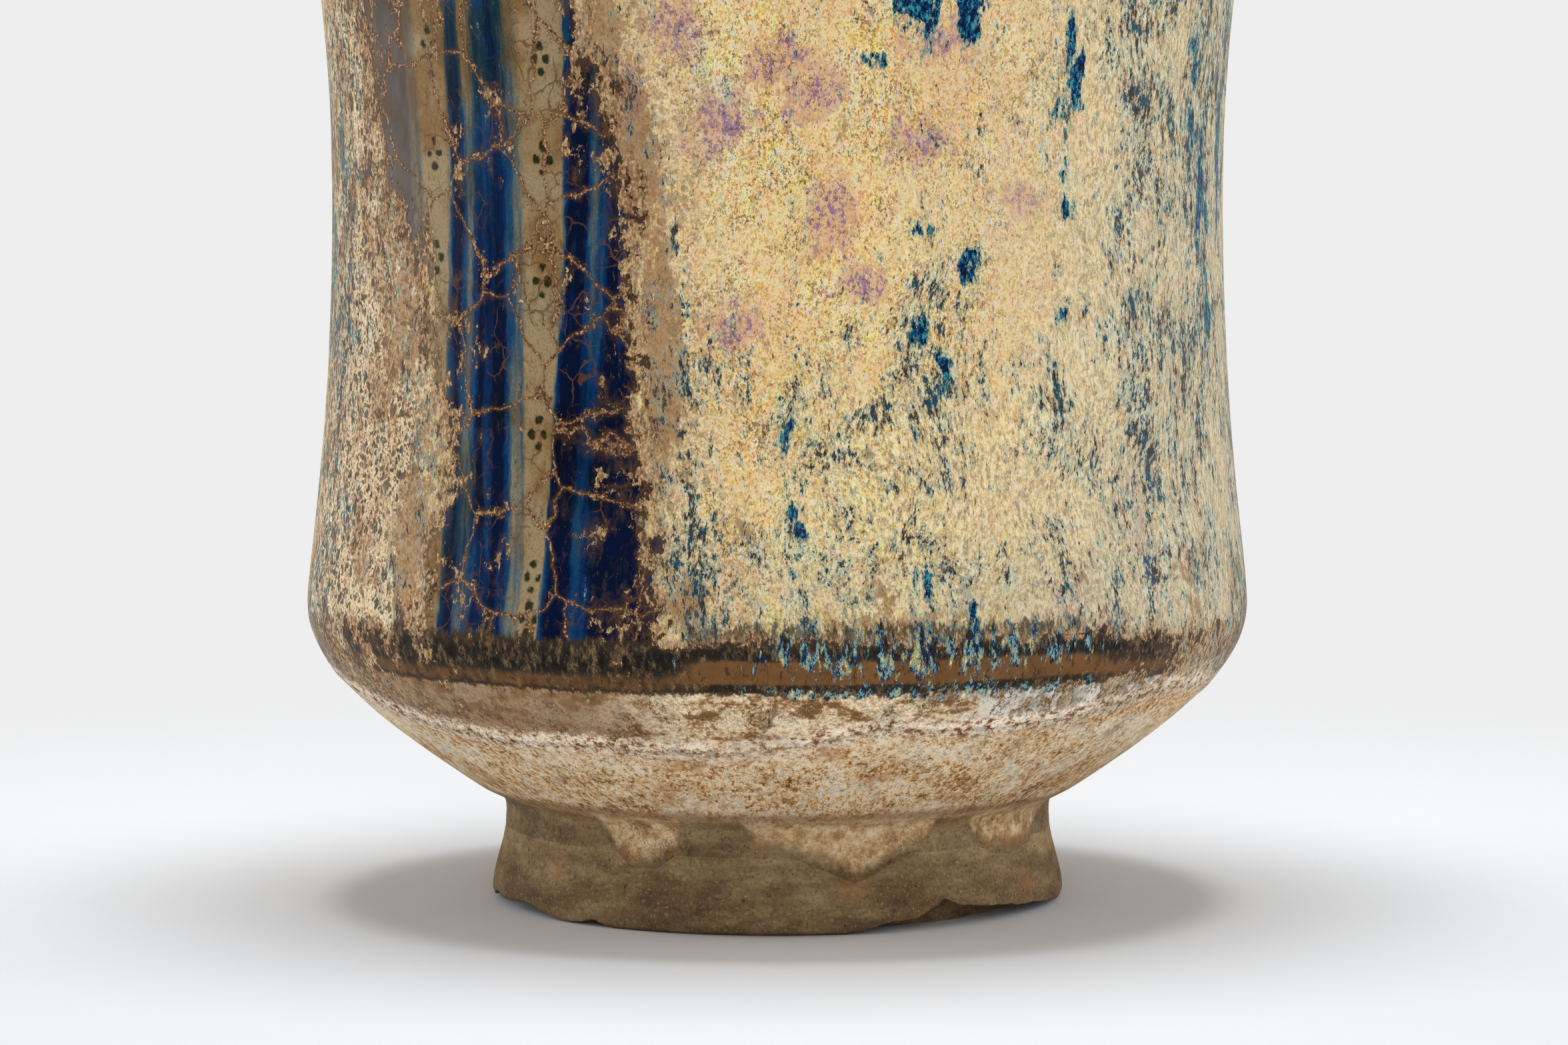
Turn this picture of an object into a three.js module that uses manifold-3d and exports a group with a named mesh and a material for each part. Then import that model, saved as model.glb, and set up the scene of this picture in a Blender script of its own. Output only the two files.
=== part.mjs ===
// A waisted storage jar of glazed stonepaste, put together the way a potter does it: a foot ring, a
// base bowl, a drawn-in body wall, a shoulder and a neck collar are made apart, each is lapped into
// the next and luted with wet slip, and a coil of soft paste is pressed over each wide seam inside.
// One coat of glaze covers the outside and runs down over the foot, and a second coat lines the inside.
// Millimetres, +Z up, origin at the centre of the foot's underside. The side shown in front faces -Y.
import * as THREE from "three";
import { mergeVertices } from "three/addons/utils/BufferGeometryUtils.js";
import Module from "manifold-3d";

const wasm = await Module();
wasm.setup();

// The paste's outer shape from the bottom up: the foot's, the wall's and the neck's radius, how far
// the shape draws in or swells out from them, and the rise to each level from the one before
const footTopRadius = 46.4;
const footFlare = 2.5;
const footHeight = 17.4;
const undersideRise = 33.6;
const carinationRadius = 79.6;
const lowerWallRise = 70;
const waistDraw = 4.6;
const upperWallRise = 62;
const shoulderSwell = 0.6;
const shoulderRise = 34;
const neckBaseRadius = 43.5;
const neckRise = 8;
const neckDraw = 1.5;
const flareRise = 11;
const rimFlare = 6;
const lipRise = 3;
const lipCrestWidth = 2;

// How the curves leave and meet these levels: reaches along them, and slopes in degrees
const footEdgeRound = 1.6;
const footFlareReach = 4;
const undersideSlope = 33;
const undersideReach = 30;
const carinationReachBelow = 9;
const carinationReachAbove = 6;
const waistReachBelow = 40;
const waistReachAbove = 34;
const shoulderReachBelow = 10;
const shoulderReachAbove = 11;
const shoulderSlope = 28;
const neckReach = 24;

// Thicknesses, and the flat floor inside
const footTopThickness = 8;
const footInnerBevel = 1.5;
const wallThickness = 6;
const floorThickness = 6.7;
const floorInset = 4.4; // from the foot's top edge in to the flat floor's edge
const floorCove = 3;
const neckThickness = 5.5;
const lipThickness = 8.5;
const glazeThickness = 0.7;
const liningThickness = 0.5;
const slipThickness = 0.6;
const bond = 0.05; // clearance left where two fired layers touch
const coatMeeting = 0.3; // gap between the two coats on the crest of the lip

// The lapped seams, measured from the nearest level, and the coils pressed over two of them
const footSeamDrop = 2.9;
const footLap = 2.5;
const baseSeamRise = 7;
const shoulderSeamDrop = 11;
const wallLap = 5;
const neckLap = 4;
const coilHeight = 14;
const coilThickness = 2.2;

// The outer coat's lower edge, and its runs: degrees round from the front, half width in degrees, drop
const glazeEdgeDrop = 1.8;
const glazeRuns = [
  [-49, 14, 1.2], [-24, 9, 6.6], [6, 13, 4.4], [17, 9, 7.6], [47, 15, 6.2], [84, 10, 7.5],
  [118, 13, 4.2], [150, 10, 6.4], [181, 16, 5.2], [213, 11, 3.6], [246, 13, 6], [281, 10, 4.8],
];

// Chips in the foot's lower edge: degrees round from the front, half length, half height, depth
const footChips = [
  [35.5, 3.4, 5.6, 4.6], [27, 7.5, 2.6, 3], [54, 15, 3.4, 4.6],
  [-62, 6.5, 2.9, 3.4], [-45, 4.2, 1.4, 2.4], [142, 9, 2.6, 3.4], [205, 5, 1.8, 2.8],
];

const facets = 32;
const frontAngle = -90; // degrees from +X to the front

// Levels, and the radii at them
const carinationHeight = footHeight + undersideRise;
const waistHeight = carinationHeight + lowerWallRise;
const shoulderHeight = waistHeight + upperWallRise;
const neckBaseHeight = shoulderHeight + shoulderRise;
const neckWaistHeight = neckBaseHeight + neckRise;
const rimHeight = neckWaistHeight + flareRise;
const crestHeight = rimHeight + lipRise;
const footSeamHeight = footHeight - footSeamDrop;
const floorHeight = footSeamHeight + footLap + slipThickness / 2 + floorThickness;
const footRadius = footTopRadius + footFlare;
const footBore = footTopRadius - footTopThickness;
const floorRadius = footTopRadius - floorInset;
const waistRadius = carinationRadius - waistDraw;
const shoulderRadius = carinationRadius + shoulderSwell;
const neckWaistRadius = neckBaseRadius - neckDraw;
const neckBore = neckWaistRadius - neckThickness;
const rimRadius = neckWaistRadius + rimFlare;
const rimBore = rimRadius - lipThickness;
const crestRadius = (rimRadius + rimBore) / 2;

const paste = { color: 0xa58f6c, roughness: 0.9, metalness: 0 };
const driedSlip = { color: 0xc2ad88, roughness: 0.95, metalness: 0 };
const weatheredGlaze = { color: 0xc9b183, roughness: 0.4, metalness: 0 };
const liningGlaze = { color: 0xb9ae8c, roughness: 0.35, metalness: 0 };

const at = (radius, height) => new THREE.Vector2(radius, height);
const degrees = THREE.MathUtils.degToRad;
const along = (slope, reach) => at(Math.cos(degrees(slope)), Math.sin(degrees(slope))).multiplyScalar(reach);

// Points on a curve between two points, with the pull that each end has on it.
function sweep(start, startPull, endPull, end, steps) {
  const curve = new THREE.CubicBezierCurve(start, start.clone().add(startPull), end.clone().add(endPull), end);
  return curve.getPoints(steps);
}

// A line of points moved sideways: outward on a rising line where the distance is above 0.
function beside(points, distance) {
  return points.map((point, i) => {
    const before = points[Math.max(i - 1, 0)];
    const after = points[Math.min(i + 1, points.length - 1)];
    const direction = after.clone().sub(before).normalize();
    return at(point.x + direction.y * distance, point.y - direction.x * distance);
  });
}

// The stretch of a rising line between two heights, with its ends worked out on the line.
function between(points, low, high) {
  const cut = (height) => {
    const i = points.findIndex((point, k) => k > 0 && points[k - 1].y <= height && point.y >= height);
    const [a, b] = [points[i - 1], points[i]];
    return a.clone().lerp(b, b.y === a.y ? 0 : (height - a.y) / (b.y - a.y));
  };
  const inside = points.filter((point) => point.y > low + bond && point.y < high - bond);
  return [cut(low), ...inside, cut(high)];
}

const radiusAt = (points, height) => between(points, height, points.at(-1).y)[0].x;

// A solid turned about the vertical axis, from an outline that runs anticlockwise.
function turned(outline) {
  return new THREE.LatheGeometry([...outline, outline[0]], facets).rotateX(Math.PI / 2);
}

function solid(geometry) {
  const bare = geometry.clone();
  bare.deleteAttribute("normal");
  bare.deleteAttribute("uv");
  const { attributes, index } = mergeVertices(bare, 1e-3);
  const mesh = new wasm.Mesh({ numProp: 3, vertProperties: attributes.position.array, triVerts: index.array });
  return new wasm.Manifold(mesh);
}

function shown(manifold) {
  const { vertProperties, triVerts } = manifold.getMesh();
  const geometry = new THREE.BufferGeometry();
  geometry.setAttribute("position", new THREE.BufferAttribute(vertProperties, 3));
  return geometry.setIndex(new THREE.BufferAttribute(triVerts, 1));
}

// The faces of the paste, from the bottom up
const footSide = [
  at(footRadius - footEdgeRound, 0),
  at(footRadius - footEdgeRound * (1 - Math.SQRT1_2), footEdgeRound * (1 - Math.SQRT1_2)),
  ...sweep(
    at(footRadius, footEdgeRound), at(0, footFlareReach),
    at(0, -footFlareReach), at(footTopRadius, footSeamHeight), 3,
  ),
];
const body = [
  ...sweep(
    at(footTopRadius, footHeight), along(undersideSlope, undersideReach),
    at(0, -carinationReachBelow), at(carinationRadius, carinationHeight), 6,
  ),
  ...sweep(
    at(carinationRadius, carinationHeight), at(0, carinationReachAbove),
    at(0, -waistReachBelow), at(waistRadius, waistHeight), 3,
  ).slice(1),
  ...sweep(
    at(waistRadius, waistHeight), at(0, waistReachAbove),
    at(0, -shoulderReachBelow), at(shoulderRadius, shoulderHeight), 3,
  ).slice(1),
  ...sweep(
    at(shoulderRadius, shoulderHeight), at(0, shoulderReachAbove),
    along(-shoulderSlope, neckReach), at(neckBaseRadius, neckBaseHeight), 5,
  ).slice(1),
];
const outerFace = [
  footSide.at(-1), ...body,
  at(neckWaistRadius, neckWaistHeight),
  at((3 * neckWaistRadius + rimRadius) / 4, neckWaistHeight + flareRise / 2),
  at(rimRadius, rimHeight),
  at(crestRadius + lipCrestWidth / 2, crestHeight),
];
const hollow = beside(body, -wallThickness).filter(
  (point) => point.y > floorHeight + floorCove && point.x > Math.min(floorRadius, neckBore),
);
const innerFace = [
  at(0, floorHeight), at(floorRadius, floorHeight),
  ...hollow.filter((point) => point.x > neckBore + wallThickness),
  at(neckBore, neckBaseHeight - wallThickness),
  at(neckBore, neckWaistHeight),
  at(rimBore, rimHeight),
  at(crestRadius - lipCrestWidth / 2, crestHeight),
];

// A half-lap seam. The lower piece's inner half stands up as a tongue inside the upper piece's
// rebate, and slip fills the step left between them.
function lapSeam(height, lap, outer, inner) {
  const half = slipThickness / 2;
  const fill = half - bond;
  const middle = (outer + inner) / 2;
  return {
    low: height - half,
    high: height + half,
    innerLow: height + lap - half,
    innerHigh: height + lap + half,
    tongue: [at(middle - half, height - half), at(middle - half, height + lap - half)],
    rebate: [at(middle + half, height + lap + half), at(middle + half, height + half)],
    slip: [
      at(outer, height - fill), at(outer, height + fill), at(middle + fill, height + fill),
      at(middle + fill, height + lap + fill), at(inner, height + lap + fill),
      at(inner, height + lap - fill), at(middle - fill, height + lap - fill),
      at(middle - fill, height - fill),
    ],
  };
}

const wallSeam = (height) =>
  lapSeam(height, wallLap, radiusAt(outerFace, height), radiusAt(innerFace, height + wallLap));
const footSeam = lapSeam(footSeamHeight, footLap, footTopRadius, footBore);
const baseSeam = wallSeam(carinationHeight + baseSeamRise);
const shoulderSeam = wallSeam(shoulderHeight - shoulderSeamDrop);
const neckSeam = lapSeam(neckBaseHeight, neckLap, neckBaseRadius, neckBore);

function footRing() {
  const ring = turned([
    at(footBore + footInnerBevel, 0), ...between(footSide, 0, footSeam.low),
    ...footSeam.tongue, at(footBore, footSeam.innerLow), at(footBore, footInnerBevel),
  ]);
  const chipped = footChips.reduce((whole, [angle, halfLength, halfHeight, depth]) => {
    const chip = new THREE.IcosahedronGeometry(1, 1).scale(depth, halfLength, halfHeight);
    chip.translate(footRadius, 0, 0).rotateZ(degrees(frontAngle + angle));
    return whole.subtract(solid(chip));
  }, solid(ring));
  return shown(chipped);
}

function baseBowl() {
  return turned([
    at(0, footSeam.innerHigh), ...footSeam.rebate, ...between(outerFace, footSeam.high, baseSeam.low),
    ...baseSeam.tongue, ...between(innerFace.slice(1), floorHeight, baseSeam.innerLow).reverse(),
    at(0, floorHeight),
  ]);
}

// A section of the jar between the seam under it and the seam over it.
function section(lower, upper) {
  return turned([
    ...lower.rebate, ...between(outerFace, lower.high, upper.low),
    ...upper.tongue, ...between(innerFace, lower.innerHigh, upper.innerLow).reverse(),
  ]);
}

function neckCollar() {
  return turned([
    ...neckSeam.rebate, ...between(outerFace, neckSeam.high, crestHeight),
    ...between(innerFace, neckSeam.innerHigh, crestHeight).reverse(),
  ]);
}

// The face of a coil smeared over a seam on the inside, from its lower edge to its upper edge.
function coilFace(seam) {
  const middle = (seam.innerLow + seam.innerHigh) / 2;
  return [-1, -0.6, 0, 0.6, 1].map((rise) => {
    const height = middle + (rise * coilHeight) / 2;
    return at(radiusAt(innerFace, height) - bond - coilThickness * Math.sqrt(1 - Math.abs(rise)), height);
  });
}

function seamCoil(seam) {
  const face = coilFace(seam);
  const back = between(innerFace, face[0].y, face.at(-1).y).map((point) => at(point.x - bond, point.y));
  return turned([...back, ...face.slice(1, -1).reverse()]);
}

// How high the outer coat's lower edge is, at an angle in degrees round from the front.
function glazeEdge(angle) {
  const drops = glazeRuns.map(([middle, halfWidth, drop]) => {
    const apart = Math.abs(THREE.MathUtils.euclideanModulo(angle - middle + 180, 360) - 180) / halfWidth;
    return apart < 1 ? drop * Math.sqrt(1 - apart ** 2) : 0;
  });
  return footHeight - glazeEdgeDrop - Math.max(...drops);
}

// The ring of space round the foot that the outer coat leaves bare: its top is the coat's edge.
function bareFoot() {
  const steps = 2 * facets;
  const [near, far] = [footTopRadius - wallThickness, footRadius + wallThickness];
  const corners = [];
  const faces = [];
  for (let i = 0; i < steps; i++) {
    const turn = (360 * i) / steps;
    const edge = glazeEdge(turn - frontAngle);
    const [c, s] = [Math.cos(degrees(turn)), Math.sin(degrees(turn))];
    for (const [radius, height] of [[near, 0], [far, 0], [far, edge], [near, edge]])
      corners.push(radius * c, radius * s, height);
    for (let k = 0; k < 4; k++) {
      const [a, b] = [4 * i + k, 4 * i + ((k + 1) % 4)];
      const [nextA, nextB] = [(a + 4) % (4 * steps), (b + 4) % (4 * steps)];
      faces.push(a, nextA, b, b, nextA, nextB);
    }
  }
  const geometry = new THREE.BufferGeometry();
  geometry.setAttribute("position", new THREE.Float32BufferAttribute(corners, 3));
  return geometry.setIndex(faces);
}

function outerGlaze() {
  const covered = [...footSide.slice(2, -1), ...outerFace];
  const under = beside(covered, bond).slice(0, -1);
  const skin = beside(covered, bond + glazeThickness).slice(0, -1);
  const edge = crestRadius + coatMeeting / 2;
  const floor = crestHeight + bond;
  const crest = [
    at(covered.at(-1).x, floor + glazeThickness), at(edge, floor + glazeThickness),
    at(edge, floor), at(covered.at(-1).x, floor),
  ];
  const coat = turned([...skin, ...crest, ...under.reverse()]);
  return shown(solid(coat).subtract(solid(bareFoot())));
}

function innerGlaze() {
  const [low, high] = [coilFace(baseSeam), coilFace(shoulderSeam)];
  const covered = [
    innerFace[0], ...between(innerFace.slice(1), floorHeight, low[0].y).slice(0, -1), ...low,
    ...between(innerFace, low.at(-1).y, high[0].y).slice(1, -1), ...high,
    ...between(innerFace, high.at(-1).y, crestHeight).slice(1),
  ];
  const under = beside(covered, -bond).slice(1, -1);
  const skin = beside(covered, -bond - liningThickness).slice(1, -1);
  const edge = crestRadius - coatMeeting / 2;
  const floor = crestHeight + bond;
  const crest = [
    at(covered.at(-1).x, floor), at(edge, floor),
    at(edge, floor + liningThickness), at(covered.at(-1).x, floor + liningThickness),
  ];
  return turned([
    at(0, floorHeight + bond), ...under, ...crest, ...skin.reverse(),
    at(0, floorHeight + bond + liningThickness),
  ]);
}

const jar = new THREE.Group();

function add(name, geometry, finish) {
  const mesh = new THREE.Mesh(geometry, new THREE.MeshStandardMaterial(finish));
  mesh.name = name;
  jar.add(mesh);
}

add("foot_ring", footRing(), paste);
add("base_bowl", baseBowl(), paste);
add("body_wall", section(baseSeam, shoulderSeam), paste);
add("shoulder", section(shoulderSeam, neckSeam), paste);
add("neck_collar", neckCollar(), paste);
add("foot_slip", turned(footSeam.slip), driedSlip);
add("base_slip", turned(baseSeam.slip), driedSlip);
add("shoulder_slip", turned(shoulderSeam.slip), driedSlip);
add("neck_slip", turned(neckSeam.slip), driedSlip);
add("base_seam_coil", seamCoil(baseSeam), paste);
add("shoulder_seam_coil", seamCoil(shoulderSeam), paste);
add("outer_glaze", outerGlaze(), weatheredGlaze);
add("inner_glaze", innerGlaze(), liningGlaze);

export default jar;
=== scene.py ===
# %% [markdown]
# # A striped storage jar under a weathered crust
#
# The real object is a storage jar of stonepaste: white paste painted with cobalt stripes and small
# groups of dots, covered with a clear alkaline glaze, and then buried for centuries. The burial
# turned most of the glaze into a golden, flaky crust. One window of sound glaze shows in front, and
# two narrower ones are made up for the back.
#
# Everything here is in one frame with the solid model. Lengths are written in millimetres, because
# that is how a potter thinks, and each mesh is made in metres at the very end.

import itertools

import bpy
import numpy as np
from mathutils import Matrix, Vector


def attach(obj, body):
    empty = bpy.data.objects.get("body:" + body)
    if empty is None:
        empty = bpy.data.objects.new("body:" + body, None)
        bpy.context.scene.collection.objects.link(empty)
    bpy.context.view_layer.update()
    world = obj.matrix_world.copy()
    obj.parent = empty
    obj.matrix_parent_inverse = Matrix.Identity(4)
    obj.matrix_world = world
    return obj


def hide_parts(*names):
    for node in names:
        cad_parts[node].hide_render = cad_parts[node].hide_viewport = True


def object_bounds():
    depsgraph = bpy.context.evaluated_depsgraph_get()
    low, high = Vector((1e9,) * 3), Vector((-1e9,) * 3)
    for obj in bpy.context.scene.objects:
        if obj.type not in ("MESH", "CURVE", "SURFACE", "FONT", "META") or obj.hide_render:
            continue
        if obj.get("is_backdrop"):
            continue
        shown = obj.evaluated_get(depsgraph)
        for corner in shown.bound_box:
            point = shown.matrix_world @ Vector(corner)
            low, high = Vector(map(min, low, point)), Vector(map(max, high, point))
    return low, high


MM = 0.001
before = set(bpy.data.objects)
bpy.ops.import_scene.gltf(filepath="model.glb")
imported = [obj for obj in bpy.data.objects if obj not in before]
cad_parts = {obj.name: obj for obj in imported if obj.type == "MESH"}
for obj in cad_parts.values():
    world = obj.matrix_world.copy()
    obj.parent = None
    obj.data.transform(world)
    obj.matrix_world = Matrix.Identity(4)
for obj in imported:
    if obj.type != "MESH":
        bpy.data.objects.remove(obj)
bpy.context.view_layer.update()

# %% [markdown]
# ## The camera
#
# A long lens from one metre away keeps the jar's sides nearly parallel, as in the photograph. The
# camera is level with the upper wall and looks down a little, so the ring under the jar shows as a
# shallow curve. It aims at a point close to the axis, so its tilt follows from lengths alone.

# %% Camera
FRAME_WIDTH = 2352
CAMERA_DISTANCE = 1000
CAMERA_HEIGHT = 147
AIM_HEIGHT = 64
AIM_RIGHT = 1.1
LENS = 134.8
SENSOR = 36


def add_camera():
    """A camera on the -Y side, turned so that it looks straight at the aim point."""
    data = bpy.data.cameras.new("camera")
    data.lens = LENS
    data.sensor_width = SENSOR
    camera = bpy.data.objects.new("camera", data)
    bpy.context.scene.collection.objects.link(camera)
    camera.location = Vector((AIM_RIGHT, -CAMERA_DISTANCE, CAMERA_HEIGHT)) * MM
    aim = Vector((AIM_RIGHT, 0, AIM_HEIGHT)) * MM
    camera.rotation_mode = "QUATERNION"
    camera.rotation_quaternion = (aim - camera.location).to_track_quat("-Z", "Y")
    bpy.context.scene.camera = camera


add_camera()
print("pixels to the millimetre at the axis:", round(LENS / SENSOR * FRAME_WIDTH / CAMERA_DISTANCE, 2))

# %% [markdown]
# ## Profiles
#
# A thrown or moulded jar is a surface of revolution, so its whole shape is one line of radius
# against height. The line is joined from cubic curves between the jar's levels, sampled finely, and
# then respaced so that its points lie a fixed length apart. Rounding by a short running average
# gives the corners the soft fillet that slip and glaze leave there.

# %% Levels of the jar and its profile
FOOT_RADIUS, FOOT_EDGE = 48.9, 1.6
FOOT_HEIGHT, FOOT_TOP_RADIUS = 17.4, 46.4
FOOT_SIDE_TOP = FOOT_HEIGHT - 2.9
CARINATION = (79.6, FOOT_HEIGHT + 33.6)
WAIST = (75.0, CARINATION[1] + 70)
SHOULDER = (80.2, WAIST[1] + 62)
NECK_BASE = (43.5, SHOULDER[1] + 34)
NECK_WAIST = (42.0, NECK_BASE[1] + 8)
RIM = (48.0, NECK_WAIST[1] + 11)
LIP_RISE = 3
LIP_THICKNESS = 8.5
LIP_FLAT = 1.0
CREST = (RIM[0] - LIP_THICKNESS / 2, RIM[1] + LIP_RISE)
WALL = 6
FLOOR_HEIGHT = 24
FLOOR_RADIUS = 42
NECK_WALL = 5.5
NECK_BORE = NECK_WAIST[0] - NECK_WALL
RIM_BORE = RIM[0] - LIP_THICKNESS
UNDERSIDE_SLOPE, UNDERSIDE_PULL = np.radians(33), 30
SHOULDER_SLOPE, SHOULDER_PULL = np.radians(28), 24
FLARE_END = (RIM[0] - 0.4, RIM[1] - 1)


def curve(start, start_pull, end_pull, end, steps=80):
    """A cubic curve: the two ends and their pulled points, weighted by the powers of t and 1 - t."""
    t = np.linspace(0, 1, steps)[:, None]
    start, end = np.array(start, float), np.array(end, float)
    out, back = start + start_pull, end + end_pull
    return start * (1 - t) ** 3 + 3 * out * t * (1 - t) ** 2 + 3 * back * t**2 * (1 - t) + end * t**3


def respaced(line, step):
    """The same line with its points a fixed length apart along it."""
    gone = np.concatenate([[0], np.cumsum(np.linalg.norm(np.diff(line, axis=0), axis=1))])
    places = np.linspace(0, gone[-1], max(int(round(gone[-1] / step)), 2) + 1)
    return np.stack([np.interp(places, gone, line[:, k]) for k in (0, 1)], axis=1)


def rounded(line, reach):
    """The line with each point replaced by the mean of its neighbours, weighted by a bell curve."""
    count = int(3 * reach) + 1
    weights = np.exp(-0.5 * (np.arange(-count, count + 1) / reach) ** 2)
    weights = weights / weights.sum()
    padded = np.pad(line, ((count, count), (0, 0)), mode="reflect", reflect_type="odd")
    return np.stack([np.convolve(padded[:, k], weights, "valid") for k in (0, 1)], axis=1)


def across(line):
    """The unit direction to the right of the line at each point, which is outward on a rising line."""
    ahead = np.gradient(line, axis=0)
    ahead /= np.linalg.norm(ahead, axis=1)[:, None]
    return np.stack([ahead[:, 1], -ahead[:, 0]], axis=1)


foot_side = curve((FOOT_RADIUS, FOOT_EDGE), (0, 4), (0, -4), (FOOT_TOP_RADIUS, FOOT_SIDE_TOP))
underside = curve(
    (FOOT_TOP_RADIUS, FOOT_HEIGHT),
    (UNDERSIDE_PULL * np.cos(UNDERSIDE_SLOPE), UNDERSIDE_PULL * np.sin(UNDERSIDE_SLOPE)),
    (0, -9), CARINATION,
)
wall_low = curve(CARINATION, (0, 6), (0, -40), WAIST)
wall_high = curve(WAIST, (0, 34), (0, -10), SHOULDER)
shoulder = curve(
    SHOULDER, (0, 11),
    (SHOULDER_PULL * np.cos(SHOULDER_SLOPE), -SHOULDER_PULL * np.sin(SHOULDER_SLOPE)), NECK_BASE,
)
neck = curve(NECK_BASE, (-0.8, 3), (0.5, -3), NECK_WAIST, 20)
flare = curve(NECK_WAIST, (0, 4), (-3, -4), FLARE_END, 30)
lip = curve(FLARE_END, (1.2, 1.6), (3.6, 0), CREST, 30)

STEP = 0.25
FILLET = 1.0
outer_parts = [foot_side, underside, wall_low, wall_high, shoulder, neck, flare, lip]
outer_line = rounded(respaced(np.concatenate(outer_parts), STEP), FILLET / STEP)
print("outer profile:", len(outer_line), "points, widest", round(float(outer_line[:, 0].max()), 2), "mm")

# %% [markdown]
# ## Chance, made repeatable
#
# Burial wear is uneven in all directions, so it needs a random field in space. A lattice field does
# it: each corner of a cubic grid gets a random value from a hash of its place, and a point between
# the corners gets their smooth mean. Adding finer and weaker copies gives the look of clouds. The
# hash depends on nothing but the place and a seed, so each run gives the same jar.

# %% A random field in space
HASH_PRIMES = (73856093, 19349663, 83492791)
SEED_PRIME = 2654435761
SCRAMBLE = 1274126177


def field(points, size, seed):
    """Smooth random values from -1 to 1: lattice values joined with the weight 3t^2 - 2t^3."""
    place = points / size
    corner = np.floor(place).astype(np.int64)
    t = place - corner
    weight = t * t * (3 - 2 * t)
    total = np.zeros(points.shape[:-1])
    for offset in itertools.product((0, 1), repeat=3):
        cell = corner + np.array(offset)
        mixed = seed * SEED_PRIME
        for k, prime in enumerate(HASH_PRIMES):
            mixed = mixed ^ cell[..., k] * prime
        mixed = (mixed ^ (mixed >> 13)) * SCRAMBLE & 0xFFFFFFFF
        value = ((mixed ^ (mixed >> 16)) & 0xFFFF) / 32767.5 - 1
        share = np.where(np.array(offset) == 1, weight, 1 - weight).prod(axis=-1)
        total += share * value
    return total


def clouds(points, size, seed, layers=3):
    """The field with finer copies added, each half as large and half as strong as the last."""
    return sum(field(points, size / 2**k, seed + k) / 2**k for k in range(layers)) / 1.5


def smooth_step(value, low, high):
    """0 below low, 1 above high, and the weight 3t^2 - 2t^3 between them."""
    t = np.clip((value - low) / (high - low), 0, 1)
    return t * t * (3 - 2 * t)


def stretch(value, start, whole, fading, end):
    """1 between whole and fading, and 0 before start and past end: a smooth step up and one down."""
    return smooth_step(value, start, whole) * (1 - smooth_step(value, fading, end))


def bell(value, middle, width):
    """The bell curve of the value: e to the power of -((value - middle) / width)^2."""
    return np.exp(-(((value - middle) / width) ** 2))


diagonal = clouds(np.linspace((0, 0, 0), (500, 400, 300), 1000), 10, 1)
print("clouds go from", round(float(diagonal.min()), 2), "to", round(float(diagonal.max()), 2))

# %% [markdown]
# ## Where the wear lies
#
# The jar's surface is read as a map: degrees round from the front, and height. On that map, the
# window of sound glaze is the space between a left and a right edge, and so are the two behind it.
# The thick glaze ends in a wavy line on the underside, and below it only a thin wash goes on over
# the foot. Each edge is a short list of places joined by lines, and chance makes it ragged later.

# %% Windows, patches and the glaze line

# Windows of sound glaze: heights, and the left and right edge in degrees at each height
WINDOWS = [
    (
        [44, 53, 67, 78, 99, 110, 128, 146, 165, 182, 196],
        [-49, -46, -44, -43, -47, -49, -54, -54, -52, -47, -38],
        [-12, -14, -16, -17, -17.5, -19, -19.5, -23.5, -27, -31, -38],
    ),
    (
        [58, 68, 84, 110, 136, 158, 176],
        [113, 109, 108, 104, 109, 114, 122],
        [117, 126, 127, 133, 129, 127, 122],
    ),
    (
        [70, 88, 112, 140, 168, 190, 202],
        [-158, -166, -169, -163, -165, -160, -150],
        [-146, -141, -137, -139, -134, -138, -150],
    ),
]

# Small places where the crust has come off over blue: degrees, height, half width, half height, mm
BLUE_PATCHES = [
    (17, 152, 3.4, 6), (23, 150, 2.4, 5), (37.5, 147, 0.9, 5), (38.5, 140, 1.2, 3.5), (37, 134, 0.8, 4),
    (17, 116, 1.1, 1), (24, 111, 1.6, 2.6), (17, 101, 1.7, 2), (38, 119, 2, 1.8), (37.5, 101, 0.9, 1.6),
    (20, 95, 0.9, 1.4), (64, 137, 1.4, 9), (67, 122, 1.6, 8), (70, 104, 1.3, 10), (76, 128, 1.4, 12),
    (17, 60, 1.2, 2.6), (18, 49, 1.6, 3), (2, 66, 0.8, 3), (1, 84, 0.7, 2.4), (23, 55, 1, 2),
    (-73, 130, 1.6, 4), (-79, 112, 1.4, 5), (12, 143, 3, 1.4), (96, 96, 2, 14), (150, 150, 3, 9),
    (172, 88, 3, 12), (-118, 118, 2.4, 14), (-104, 84, 2, 9), (-130, 150, 2.6, 8), (62, 172, 3, 8),
    (-12, 178, 3, 9),
]

# Places where the crust is worn brown: degrees, height, half width, half height, mm
BROWN_PATCHES = [
    (-14, 96, 4, 16), (-17, 62, 3, 12), (10.5, 81, 1.8, 1.6), (11.5, 60, 3.4, 3), (13, 57, 3, 4),
    (-4, 70, 3, 5), (-56, 92, 7, 22), (-50, 66, 5, 10), (-76, 76, 4, 16), (60, 54, 9, 4), (72, 46, 12, 4),
    (-18, 128, 4, 12), (-22, 150, 4, 12), (8, 132, 2, 5), (38, 60, 3, 3), (100, 70, 8, 12),
    (160, 120, 9, 14), (-140, 70, 9, 10), (-60, 60, 8, 6), (-10, 58, 4, 4), (14, 54, 22, 3.6),
    (40, 53.5, 16, 3), (58, 60, 12, 6), (74, 56, 10, 9),
]

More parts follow.
